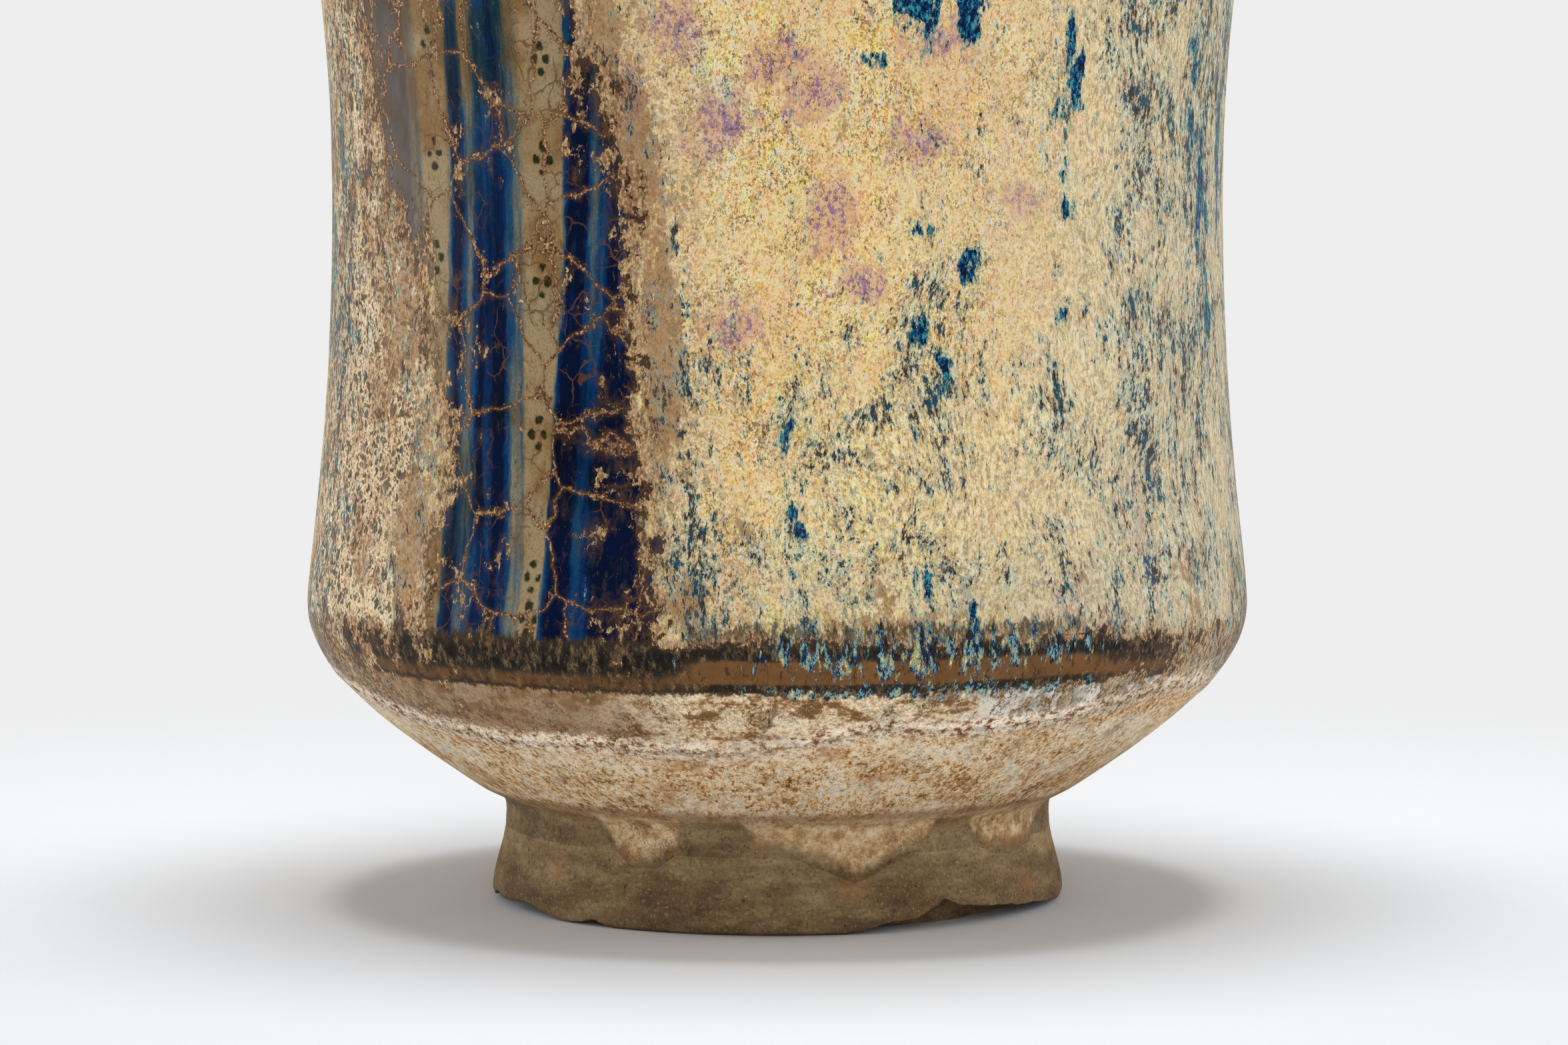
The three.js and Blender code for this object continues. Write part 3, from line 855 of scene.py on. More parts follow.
def tinted(r, base, plate):
    """Rose, its violet net, dark specks, and the ropes that are left where the crust is thin."""
    rose = r.uneven("rose", 4.0, 3, (1, 1, 0.7), 6, 0.74, shift=(19, 4, 2))
    base = r.over(base, rose, -0.2, 0.3, 0.5, rgb(204, 150, 128))
    netted = r.plus(rose, r.times(r.centred(1, (1, 1, 0.7), 5, 0.8, shift=(21, 3, 8)), 9.0))
    base = r.over(base, netted, 0.7, 1.1, 0.85, rgb(144, 104, 148))
    specks = r.noise(0.55, (1, 1, 0.7), 3, 0.85, shift=(9, 1, 9))
    specks = r.plus(specks, r.times(r.centred(5, detail=4), 0.3))
    specks = r.less(specks, r.fade(plate, 0.0, 0.05, 0.0, 0.024))
    base = r.over(base, specks, 0.555, 0.62, 0.8, rgb(84, 66, 50))
    thick = r.threads(1.7, (0.8, 0.8, 0.8), 0.11, r.place, (6, 2, 2))
    thin = r.threads(2.6, (0.8, 0.8, 0.7), 0.07, r.place, (1, 6, 2))
    rope = r.times(r.larger(thick, r.times(thin, 0.9)), 0.62)
    rope = r.plus(rope, r.times(r.centred(0.6, detail=4, rough=0.8, shift=(2, 2, 7)), 1.3), 0.12)
    rope = r.plus(rope, r.times(r.centred(7, (1, 1, 0.5), 4), 0.5))
    return r.mix(r.value("dashes"), base, r.ramp(rope, ROPE_TINTS))


def soiled(r, base, lean):
    """Light and dark combed upright, a silver film, a golden glow, and brown and black soil."""
    comb = r.noise(0.8, (1, 1, 0.5), 5, 0.85, shift=(12, 2, 5), vector=lean)
    combed = r.fade(r.uneven("combed", 2.4, 7, (1, 1, 0.5), 5, 0.7, shift=(2, 1, 1)), 0.0, 1.0)
    base = r.mix(r.times(combed, 0.6), base, r.ramp(comb, COMB_TINTS))
    film = r.mix(r.noise(5, (1, 1, 0.5), 5, 0.75), rgb(198, 172, 156), rgb(160, 172, 172))
    base = r.mix(r.times(r.value("silver"), 0.5), base, film)
    base = r.mix(r.times(r.value("golden"), 0.17), base, rgb(226, 212, 176), "DODGE")
    brown = r.uneven("brown", 2.4, 1.6, (1, 1, 0.6), 5, 0.75, shift=(6, 3, 3))
    soil = r.mix(r.noise(0.6, (1, 1, 0.6), detail=4, rough=0.75), rgb(84, 54, 30), rgb(196, 146, 94))
    base = r.over(base, brown, 0.25, 0.55, 0.7, soil)
    sooty = r.uneven("sooty", 4.0, 1.4, (1, 1, 0.4), 6, 0.8, shift=(4, 0, 3))
    return r.over(base, sooty, 0.7, 1.2, 0.85, rgb(48, 40, 32))


def crust(r):
    """The crust's colour with its slits, and the values that its relief needs."""
    lean = r.bent(26, 9, (2, 8, 8), 1.0)
    plate = r.centred(11, (1, 1, 0.85), 6, 0.62, shift=(6, 8, 3), vector=lean)
    plate = r.plus(plate, r.times(r.value("loose"), -0.03), 0.01)
    base, flake = flakes(r, lean, plate)
    base = soiled(r, tinted(r, base, plate), lean)

    grain = r.noise(0.66, (1, 1, 0.45), 4, 0.8, vector=lean)
    trail = r.noise(2.4, (1, 1, 0.34), 5, 0.75, shift=(2, 2, 8), vector=lean)
    busy = r.centred(6, (1, 1, 0.6), 5, 0.7, shift=(2, 6, 6))
    torn = r.plus(r.times(grain, 0.8), r.times(trail, 0.6), r.times(busy, 0.3))
    torn = r.plus(torn, r.times(r.value("loose"), 0.045), r.fade(plate, -0.02, 0.04, 0.012, -0.036))
    fringe = r.fade(torn, 0.68, 0.82)
    tint = r.fade(r.noise(3, detail=3, shift=(1, 2, 3)), 0.44, 0.6)
    tint = r.mix(tint, rgb(140, 192, 190), rgb(150, 126, 104))
    base = r.mix(r.times(fringe, 0.6), base, tint)
    slits = r.fade(torn, 0.78, 0.86)
    deep = r.over(rgb(44, 66, 92), r.noise(2.4, detail=4, shift=(8, 8, 1)), 0.46, 0.56, 1.0, rgb(14, 78, 100))
    deep = r.over(deep, r.noise(1.9, detail=3, shift=(3, 0, 5)), 0.5, 0.57, 1.0, rgb(58, 46, 38))
    base = r.mix(slits, base, deep)

    shreds = r.centred(1.5, (1, 1, 0.4), 6, 0.8, shift=(0, 9, 4))
    jagged = r.plus(shreds, r.centred(4, (1, 1, 0.6), 4, shift=(3, 9, 4)))
    bare = r.plus(r.value("blue"), r.times(jagged, 9.0), -0.35)
    base = r.over(base, bare, -0.7, 0.0, 0.75, rgb(96, 166, 164))
    bare = r.fade(bare, 0.0, 0.2)
    blues = r.ramp(r.noise(0.7, (1, 1, 0.6), 4, 0.8, shift=(3, 7, 2)), BLUE_TINTS)
    return r.mix(bare, base, blues), slits, flake, bare


# %% [markdown]
# ## The underside and the wash on the foot
#
# Below the glaze line, only a thin wash of glaze reached the paste. It is tan and brown with white
# specks of lime, and the line itself is a ridge of white crust. The underside slopes so little that
# specks on it would look flat from the side, so they are read on an upright drum instead. Over the
# foot, the same wash is paler where it lies thick, and it thins to smears at its edge.

# %% Bare paste
PASTE_TINTS = [
    (0.3, rgb(86, 68, 48)), (0.44, rgb(112, 91, 64)), (0.56, rgb(138, 116, 84)), (0.7, rgb(168, 144, 106)),
]
# Spots of rust: degrees, height, and size in millimetres
RUST_SPOTS = [(15, 8, 4.5), (26, 13, 3), (-44, 16.5, 5), (-50, 9, 4), (60, 6, 4), (140, 9, 5), (-130, 8, 5)]


def paste_colour(r, height):
    """Sandy paste: pale and dark clouds, fine grains, dark pits, and rust in a few places."""
    tone = r.plus(r.noise(8, (0.6, 0.6, 1.4), 7, 0.75), r.fade(height, 0, 17, -0.09, 0.08))
    colour = r.ramp(tone, PASTE_TINTS)
    grains = r.noise(0.55, detail=4, rough=0.8, shift=(4, 2, 2))
    colour = r.over(colour, grains, 0.46, 0.36, 0.6, rgb(66, 50, 36))
    colour = r.over(colour, grains, 0.56, 0.68, 0.5, rgb(192, 168, 128))
    pits = r.noise(1.4, detail=3, rough=0.7, shift=(5, 5, 5))
    colour = r.over(colour, pits, 0.66, 0.7, 0.75, rgb(52, 38, 30))
    for turn, level, size in RUST_SPOTS:
        angle = np.radians(turn)
        spot = (FOOT_RADIUS * np.sin(angle), -FOOT_RADIUS * np.cos(angle), level)
        away = r.plus(r.distance(spot), r.times(r.centred(2, detail=4, rough=0.7), 0.9 * size))
        colour = r.mix(r.fade(away, 0.2 * size, 0.9 * size, 0.28, 0.0), colour, rgb(156, 98, 54))
    return colour, grains


# %% Underside
DRUM_RADIUS = 62
WASH_TINTS = [
    (0.35, rgb(104, 68, 40)), (0.42, rgb(172, 122, 74)), (0.475, rgb(230, 180, 122)),
    (0.52, rgb(252, 216, 162)), (0.56, rgb(255, 234, 198)), (0.64, rgb(255, 246, 226)),
]
SMEAR_TINTS = [
    (0.36, rgb(176, 132, 88)), (0.46, rgb(212, 172, 124)),
    (0.54, rgb(234, 202, 154)), (0.64, rgb(250, 228, 194)),
]
RIDGE_TINTS = [
    (0.42, rgb(116, 78, 52)), (0.46, rgb(206, 158, 116)),
    (0.5, rgb(255, 232, 202)), (0.6, rgb(255, 248, 232)),
]


def smeared_foot(r, height):
    """Bare paste with the wash over it, whole above the wash's line and in smears below it."""
    bare, _ = paste_colour(r, height)
    pale = r.plus(r.noise(3, detail=6, rough=0.7, shift=(6, 1, 1)), r.times(r.centred(0.7, detail=3), 0.3))
    pale = r.ramp(pale, SMEAR_TINTS)
    veins = r.threads(2.2, (0.8, 0.8, 1.2), 0.014, r.place, (7, 2, 4))
    pale = r.mix(r.times(veins, 0.6), pale, rgb(118, 80, 52))
    smear = r.uneven("smear", 5.0, 3, detail=6, rough=0.75, shift=(3, 1, 4))
    edge = r.fade(r.absolute(smear), 0.2, 1.4, 0.5, 0.0)
    bare = r.over(bare, smear, -1.0, 2.4, 0.9, pale)
    return r.mix(r.times(edge, r.fade(r.noise(7, detail=2), 0.45, 0.6)), bare, rgb(156, 104, 60))


def washed(r, colour, line, height):
    """The wash under the glaze line, with the ridge above it, and how much of the surface it takes."""
    drum = r.drum(DRUM_RADIUS)
    speck = r.noise(0.75, (0.9, 0.9, 1.1), 5, 0.84, shift=(1, 3, 9), vector=drum)
    ragged = r.plus(line, r.times(r.less(speck, 0.5), 5.0))
    broad = r.centred(7, (0.5, 0.5, 1.2), 5, 0.65, vector=drum)
    blotch = r.centred(2, (0.8, 0.8, 1.2), 4, 0.75, shift=(5, 9, 1), vector=drum)
    lime = r.plus(speck, r.times(blotch, 0.24), r.fade(line, -15, 0, 0.0, 0.02), r.times(broad, 0.4), 0.015)
    wash = r.ramp(lime, WASH_TINTS)
    strokes = r.threads(1.8, (0.7, 0.7, 1.2), 0.016, drum, (2, 9, 4))
    wash = r.mix(r.times(strokes, 0.55), wash, rgb(120, 78, 50))
    burnt = r.noise(5, (0.7, 0.7, 1.2), 6, 0.7, shift=(9, 9, 4), vector=drum)
    wash = r.over(wash, burnt, 0.52, 0.66, 0.55, rgb(190, 132, 82))
    # Painted shade: a thin brown line darkens the crease where the underside meets the foot.
    crease_shade = r.fade(r.absolute(r.less(height, FOOT_HEIGHT + 2.6)), 0.2, 1.6, 0.6, 0.0)
    wash = r.mix(crease_shade, wash, rgb(140, 94, 54))
    wash = r.mix(r.value("run"), wash, smeared_foot(r, height))

    ridge = r.fade(r.absolute(r.less(ragged, 0.4)), 0.9, 2.4, 1.0, 0.0)
    white = r.noise(1.1, (0.8, 0.8, 1.1), 5, 0.82, shift=(4, 4, 4), vector=drum)
    below = r.fade(ragged, 0.5, -0.3)
    colour = r.mix(below, colour, wash)
    return r.mix(r.times(ridge, r.value("ridge")), colour, r.ramp(white, RIDGE_TINTS)), below, speck


# %% Glaze material, all together


def lacework(r, cover):
    """Where the crust hides the glaze: whole beyond its edge, and as looped ropes on this side."""
    ragged = r.centred(1.3, (1, 1, 0.6), 6, 0.76, shift=(7, 5, 1))
    wavy = r.centred(6, (1, 1, 0.7), 4, 0.6, shift=(5, 5, 2))
    edge = r.plus(cover, r.times(ragged, 0.9), r.times(wavy, 1.6))
    rope = r.absolute(r.centred(4.2, (1, 1, 0.8), 5, 0.66, shift=(1, 6, 1)))
    near = r.fade(edge, 0.05, 0.5, 0.0, 0.11)
    lace = r.fade(r.less(near, rope), 0.0, 0.012)
    return edge, r.larger(r.fade(edge, 0.5, 0.56), lace)


def outer_glaze():
    """Paint, crackle and band where the glaze is sound, the crust over it, and the wash below it."""
    r = Recipe("glaze_under_crust")
    height, line, cover = r.value("height"), r.value("line"), r.value("cover")
    veil = r.uneven("veil", 1.6, 3, (1, 1, 0.3), 5, 0.7, shift=(1, 1, 6))
    paint = r.over(painted(r, height), veil, 0.1, 0.9, 0.7, rgb(104, 94, 80))
    sound, crumbs = crackled(r, paint, height)
    sound = banded(r, sound)
    top, slits, flake, bare = crust(r)
    edge, hidden = lacework(r, cover)
    earth = r.ramp(r.noise(0.5, (1, 1, 0.6), 4, 0.72, shift=(2, 2, 2)), EARTH_TINTS)
    top = r.mix(r.fade(edge, 0.3, 0.8, 0.85, 0.0), top, earth)
    film = r.plus(edge, r.centred(2.5, (1, 1, 0.5), 5, 0.75, shift=(9, 9, 9)))
    sound = r.over(sound, film, 0.0, 0.5, 0.75, rgb(84, 62, 42))
    colour = r.mix(hidden, sound, top)
    shine = r.ramp(r.noise(1.1, (1, 1, 0.4), 4, 0.78, shift=(5, 1, 1)), SHINE_TINTS)
    gleam = r.uneven("shine", 3.6, 2, (1, 1, 0.3), 6, 0.74, shift=(7, 7, 7))
    colour = r.over(colour, gleam, 0.55, 0.8, 0.92, shine)
    colour, below, speck = washed(r, colour, line, height)

    solid = r.less(1.0, r.larger(slits, bare))
    relief = r.times(hidden, solid, r.plus(0.5, r.times(flake, 1.8)))
    rise = r.plus(relief, r.times(crumbs, r.less(1.0, hidden), 0.6))
    rise = r.plus(rise, r.times(below, speck, 1.6))
    dull = r.larger(r.times(hidden, solid), below)
    rough = r.plus(r.fade(dull, 0.0, 1.0, 0.24, 0.55), r.times(flake, 0.12))
    return r.finish(colour, rough, r.bump(rise, 0.25), 0.04)


glaze_material = outer_glaze()
print("glaze material:", len(glaze_material.node_tree.nodes), "nodes")

# %% [markdown]
# ## The outer coat
#
# The coat is one skin over the whole outside, about half a millimetre thick. Its grid is finer than a
# millimetre, so that the thick lower line, the smears on the foot and the uneven crust are real
# shape and not only shading. The rows on the foot follow the edge of the wash. The ring is then cut
# into pieces, so that each stays light enough to edit and to bake.

# %% Outer coat
COAT = 0.5
EDGE_SINK = 0.4
EDGE_ROUND = 1.2
COLUMNS = 720
SKIRT_ROWS = 26
ROW_STEP = 0.7

turn = np.linspace(-180, 180, COLUMNS + 1)
gone = np.arange(len(outer_line)) * np.linalg.norm(np.diff(outer_line, axis=0), axis=1).mean()
rising = outer_line[:, 1]
out = across(outer_line)
junction = np.interp(FOOT_HEIGHT + 1.5, rising, gone)
ragged = 0.12 * field(ring(np.full_like(turn, 46.0), 0.0, turn), 2.0, 5)
edge_places = np.interp(glaze_edge(turn) + ragged, rising, gone)
skirt = edge_places + (junction - edge_places) * np.linspace(0, 1, SKIRT_ROWS, endpoint=False)[:, None]
above = np.linspace(junction, gone[-1], int((gone[-1] - junction) / ROW_STEP))
places = np.concatenate([skirt, np.repeat(above[:, None], COLUMNS + 1, axis=1)])


def on_line(places, offset):
    """Radius and height at these places along the profile, moved outward by the offset."""
    side = np.stack([np.interp(places, gone, out[:, k]) for k in (0, 1)], axis=-1)
    base = np.stack([np.interp(places, gone, outer_line[:, k]) for k in (0, 1)], axis=-1)
    moved = base + side * offset[..., None]
    return moved[..., 0], moved[..., 1]


plain_radius, plain_height = on_line(places, np.zeros_like(places))
plain = ring(plain_radius, plain_height, turn[None, :])
wide_turn = np.broadcast_to(turn, plain_height.shape)
over_line = plain_height - glaze_line(turn)[None, :]
from_edge = places - edge_places[None, :]
print("outer coat:", plain.shape[0], "rows of", plain.shape[1])

# %% How the wear lies on this grid
inside = window_depth(wide_turn, plain_height) + 1.6 * clouds(plain * (1, 1, 0.4), 9, 11)
cover = 1 - smooth_step(inside, -8, 4)
blue = patches(wide_turn, plain_height, BLUE_PATCHES, True).clip(-3, 0.9)
rose = patches(wide_turn, plain_height, ROSE_PATCHES).clip(-1, 1)
brown = patches(wide_turn, plain_height, BROWN_PATCHES).clip(-0.3, 1) * 0.6
brown = brown + 0.2 * clouds(plain * (1, 1, 0.6), 18, 12) + 0.5 * bell(inside, -4, 4)

# To the left of the front window, the crust is thin and coarse
thin = stretch(wide_turn, -92, -78, -57, -50) * smooth_step(plain_height, 46, 60)
veiled = stretch(wide_turn, -67, -62, -53, -48) * smooth_step(plain_height, 100, 124)
cover = cover - thin * 0.3 - veiled * 0.28
patchy = smooth_step(clouds(plain * (1, 1, 0.5), 26, 13), 0.25, 0.7) * smooth_step(np.abs(wide_turn), 60, 95)
cover = cover - 0.3 * patchy
print("mostly sound glaze:", round(float((cover < 0.5).mean()), 2), "of the coat")

# %% The black band, and what lies under it


def round_the_jar(turns, values):
    """The values at these turns, joined by straight lines, for every column of the grid."""
    return np.interp(apart(turn, 0), turns, values)[None, :]


band_height = plain_height + 0.5 * clouds(plain * (1, 1, 0.1), 14, 51)
to_right = stretch(wide_turn, -15, -6, 26, 60)
black = stretch(band_height, 42.2, 44.6, 48.4, 53.5)
worn = to_right * stretch(band_height, 43.9, 45.6, 47.6, 49.6)
worn = worn + 0.6 * (1 - to_right) * stretch(band_height, 42.6, 44.2, 45.2, 47.4)
under = 1 - smooth_step(band_height, 42.8, 44.0)
crusted = round_the_jar(
    [-180, -120, -80, -62, -52, -16, -8, 30, 60, 80, 130, 180],
    [0.9, 0.8, 0.62, 0.4, 0.12, 0.1, 0.0, 0.1, 0.5, 0.55, 0.85, 0.9],
)
low = 1 - smooth_step(band_height, 49.5, 54.5)
in_band = stretch(band_height, 43.5, 44.5, 49, 50.5)
cover = np.minimum(cover, 1 - low * (1 - crusted))
cover = cover - in_band * round_the_jar([-16, -8, 40, 70], [0, 0.6, 0.5, 0])
shine = bell(plain_height, 50, 5.5) + 0.8 * bell(plain_height, 43.2, 1.3)
shine *= 0.7 * to_right * smooth_step(wide_turn, -8, 2)
print("wear: crust over", round(float(np.clip(cover, 0, 1).mean()), 2), "of the coat")

# %% Where the crust is silver, golden, torn or combed

# Columns where the crust is torn into upright slits: degrees, half width, and strength
TORN_COLUMNS = [
    (3, 2.5, 1.6), (9, 2, 1.0), (18, 3, 2.0), (24, 2, 1.2), (36, 2.5, 1.6), (50, 6, 2.2), (68, 9, 3.0),
    (84, 9, 3.0), (-72, 6, 1.4), (-84, 8, 1.8), (110, 8, 1.6), (140, 9, 1.4), (175, 8, 1.8),
    (-150, 9, 1.2), (-115, 8, 2.0),
]
torn = np.zeros_like(plain_height)
for middle, half, strength in TORN_COLUMNS:
    torn += strength * bell(apart(wide_turn + 3 * clouds(plain, 30, 18), middle), 0, half)
torn *= 0.7 + 0.6 * clouds(plain * (1, 1, 0.5), 30, 19) - 0.5 * smooth_step(plain_height, 180, 205)
calm = 1.2 * smooth_step(plain_height, 92, 112) * (1 - smooth_step(np.abs(wide_turn - 12), 26, 38))
loose = clouds(plain * (1, 1, 0.4), 22, 15) + torn + 1.2 * bell(inside, -6, 3.5) - calm
silver = round_the_jar([-180, -90, -20, 10, 35, 75, 110, 180], [0.1, 0.2, 0, 0, 0.35, 0.6, 0.3, 0.1])
silver = silver * np.interp(plain_height, [50, 70, 150], [1.3, 1.1, 0.8])
golden = (1 - smooth_step(np.abs(wide_turn - 16), 16, 44)) * smooth_step(plain_height, 56, 72)
dashes = 0.9 * stretch(wide_turn, -96, -70, -52, -44) + 0.5 * silver
dashes = np.maximum(dashes, 0.4 * bell(inside, -7, 5))
combed = 0.9 * stretch(wide_turn, 26, 48, 120, 160)
combed += 0.75 * (1 - smooth_step(plain_height, 84, 106)) * stretch(wide_turn, -8, 8, 26, 48)
combed += 0.4 * smooth_step(np.abs(wide_turn), 100, 140)
print("torn columns:", len(TORN_COLUMNS), "and the most torn place", round(float(torn.max()), 1))

# %% The values that the glaze's material reads
dot_side, dot_rise = dot_distances(wide_turn, plain_height)
coat_values = {
    "height": plain_height,
    "stroke": stripe_count(wide_turn, plain_height),
    "dose": 0.18 * clouds(plain * (1, 1, 0.3), 16, 14) + 0.3 * stretch(wide_turn, -29, -26, -14, -10),
    "dot_side": dot_side, "dot_rise": dot_rise, "cover": cover, "brown": brown, "blue": blue,
    "silver": silver, "loose": loose, "band": black - worn, "dashes": dashes, "shine": shine,
    "rose": rose, "golden": golden, "veil": veiled, "combed": combed, "worn": worn, "under": under,
    "line": over_line,
    "soiled": 0.8 * stretch(wide_turn, -84, -60, -26, -8),
    "misty": -0.6 + 1.7 * stretch(wide_turn, 6, 36, 96, 120),
    "sooty": 1.3 * to_right * bell(plain_height, 52.4, 2.8),
    "ridge": np.clip(0.8 + 0.4 * clouds(plain, 16, 16), 0, 1),
    "run": 1 - smooth_step(plain_height, FOOT_HEIGHT + 0.6, FOOT_HEIGHT + 3.4),
    "smear": plain_height - wash_end(wide_turn),
}
print("values on each point of the coat:", len(coat_values))

# %% The coat's own shape
lift = np.sqrt(np.clip(1 - (1 - np.clip(from_edge / EDGE_ROUND, 0, 1)) ** 2, 0, 1))
relief = 0.10 * clouds(plain, 24, 3)
relief += np.clip(cover, 0, 1) * (0.06 + 0.05 * clouds(plain * (1, 1, 0.35), 2.6, 21))
relief += 0.2 * bell(over_line, 0, 1.5) * (1 + 0.5 * clouds(plain, 5, 31))
on_foot = coat_values["run"]
relief = np.clip(relief, -0.25, 0.28) * (1 - 0.8 * on_foot)
smeared = smooth_step(coat_values["smear"], -0.5, 1.5) * (0.12 + 0.06 * clouds(plain, 3.2, 41))
offset = -EDGE_SINK + lift * (EDGE_SINK + COAT + relief + on_foot * (smeared - 0.45))
radius, height = on_line(places, offset)
coat = ring(radius, height, turn[None, :])
coat_normals = grid_normals(coat)
print("widest", round(float(radius.max()), 2), "mm")

# Heights between which the ring is cut into parts, and how many
CUTS = {
    "glaze_foot_to_turn": (0, CARINATION[1] - 2, 2),
    "glaze_wall": (CARINATION[1] - 2, SHOULDER[1] - 4, 4),
    "glaze_shoulder_and_neck": (SHOULDER[1] - 4, np.inf, 2),
}
row_height = plain_height[:, 0]
for name, (low, high, parts) in CUTS.items():
    rows = np.flatnonzero((row_height >= low) & (row_height < high))
    for part in range(parts):
        start, stop = part * COLUMNS // parts, (part + 1) * COLUMNS // parts + 1
        here = (slice(rows[0], rows[-1] + 2), slice(start, stop))
        values = {key: np.broadcast_to(value, coat.shape[:2])[here] for key, value in coat_values.items()}
        grid = (f"{name}_{part + 1}", coat[here], coat_normals[here])
        make_piece(*grid, glaze_material, "outer_glaze", "outer_glaze", values)

# %% [markdown]
# ## The foot ring
#
# The foot is bare paste, sandy and grey-brown, with a chipped lower edge. Its chips run into one
# another, so they are made as one rough ceiling: round the jar, the outer part of the ring is raised
# to the ceiling's height, which is 0 where the edge is whole. The chips go further in where they are
# taller. The grid is closed round the ring's section and round the axis.

# %% Foot ring
FOOT_THICKNESS = 8.9
FOOT_BORE = FOOT_RADIUS - FOOT_EDGE - FOOT_THICKNESS
FOOT_STEP = 0.5
FOOT_COLUMNS = 640

# The chipped lower edge: degrees, and its height there
CHIPPED_EDGE = (
    [-92, -84, -77, -69, -58, -55, -48, -43, -38.5, -35, 14, 18.3, 22.5, 28.3, 30.5, 34.4, 38.6, 46.9,
     64, 80, 88, 128, 134, 142, 152, 160],
    [0.0, 0.8, 2.3, 1.8, 2.4, 1.3, 0.3, 0.6, 1.2, 0.0, 0.0, 0.9, 2.0, 2.2, 3.3, 4.9, 3.7, 3.0,
     1.8, 0.6, 0.0, 0.0, 1.6, 2.8, 1.9, 0.0],
)
CHIP_DEPTH = 7.4


def chipped(points, turn):
    """The lower outer edge broken away: heights are raised to a rough ceiling, which ends inward."""
    ceiling = np.interp(turn, *CHIPPED_EDGE)
    broken = ceiling > 0.2
    ceiling = ceiling * (1 + 0.12 * clouds(points, 2.5, 61)) + 0.12 * clouds(points, 0.8, 62) * broken
    back = FOOT_RADIUS - CHIP_DEPTH * np.clip(ceiling / 1.5, 0.25, 1) + 0.8 * clouds(points, 4, 63)
    reach = np.hypot(points[..., 0], points[..., 1])
    raised = points.copy()
    raised[..., 2] = np.maximum(points[..., 2], ceiling * smooth_step(reach, back - 0.5, back + 0.4))
    return raised


section_path = [
    [(FOOT_BORE, FOOT_HEIGHT - 1), (FOOT_BORE, 1.5), (FOOT_BORE + 1.5, 0), (FOOT_RADIUS - FOOT_EDGE, 0)],
    [(FOOT_RADIUS - 0.5, 0.5)],
    foot_side,
    [(FOOT_TOP_RADIUS, FOOT_HEIGHT - 1), (FOOT_BORE, FOOT_HEIGHT - 1)],
]
section = respaced(np.concatenate(section_path), FOOT_STEP)
foot_turn = np.linspace(-180, 180, FOOT_COLUMNS + 1)
foot = ring(np.repeat(section[:, :1], FOOT_COLUMNS + 1, axis=1), section[:, 1:], foot_turn[None, :])
outside = smooth_step(section[:, 0], FOOT_BORE + 4, FOOT_TOP_RADIUS - 1)[:, None]
seat = smooth_step(section[:, 1], 0.1, 1.4)[:, None]
wave = 0.16 * clouds(foot * (1, 1, 0.5), 14, 71) + 0.05 * clouds(foot, 1.6, 72) - 0.12
wave = wave * (1 - smooth_step(section[:, 1], 9, 12))[:, None]
scale = 1 + outside * seat * wave / FOOT_RADIUS
foot[..., 0] *= scale
foot[..., 1] *= scale
foot = chipped(foot, foot_turn[None, :])
foot_normals = grid_normals(foot)
print("foot ring:", len(section), "points round its section and", FOOT_COLUMNS, "round the axis")


def bare_paste():
    """The paste by itself, rough and dull."""
    r = Recipe("bare_stonepaste")
    colour, grains = paste_colour(r, r.add("SeparateXYZ", {0: r.place}, "Z"))
    bump = r.bump(grains, 0.16, r.bump(r.noise(2.4, detail=4), 0.22))
    return r.finish(colour, 0.88, bump, 0.1)


paste_material = bare_paste()
make_piece("foot_ring_chipped", foot, foot_normals, paste_material, "foot_ring", "paste")

# %% [markdown]
# ## The lining and the hidden paste
#
# Inside, a thin glaze covers the walls and pools on the floor. It is a second surface of revolution,
# from the crest of the lip down to the middle of the floor. The paste sections and the slip between
# them keep the solid model's own shape: only their finish is made here.

# %% Lining and hidden parts
wall_line = np.concatenate([underside, wall_low, wall_high, shoulder])
wall_line = rounded(respaced(wall_line, STEP), FILLET / STEP)
inner_wall = wall_line - across(wall_line) * WALL
inner_wall = inner_wall[(inner_wall[:, 1] > FLOOR_HEIGHT + 3) & (inner_wall[:, 0] > NECK_BORE + WALL)]
LINING_FILLET = 1.2
LINING_STEP = 1.2
LINING_COLUMNS = 360
lining_path = np.concatenate([
    [(0.01, FLOOR_HEIGHT), (FLOOR_RADIUS, FLOOR_HEIGHT)], inner_wall,
    [(NECK_BORE, NECK_BASE[1] - WALL), (NECK_BORE, NECK_WAIST[1]), (RIM_BORE, RIM[1]),
     (CREST[0] - LIP_FLAT, CREST[1]), CREST],
])
lining_line = rounded(respaced(lining_path, STEP), LINING_FILLET / STEP)
lining_line = lining_line - across(lining_line) * COAT
lining_line[0, 0] = 0
lining_line[-1] = (CREST[0], float(height[-1].mean()))
lining_line = respaced(lining_line, LINING_STEP)[::-1]
lining_turn = np.linspace(-180, 180, LINING_COLUMNS + 1)
lining_radius = np.repeat(lining_line[:, :1], LINING_COLUMNS + 1, axis=1)
lining = ring(lining_radius, lining_line[:, 1:], lining_turn[None, :])
lining_normals = grid_normals(lining)
lining_normals[-1] = (0, 0, 1)


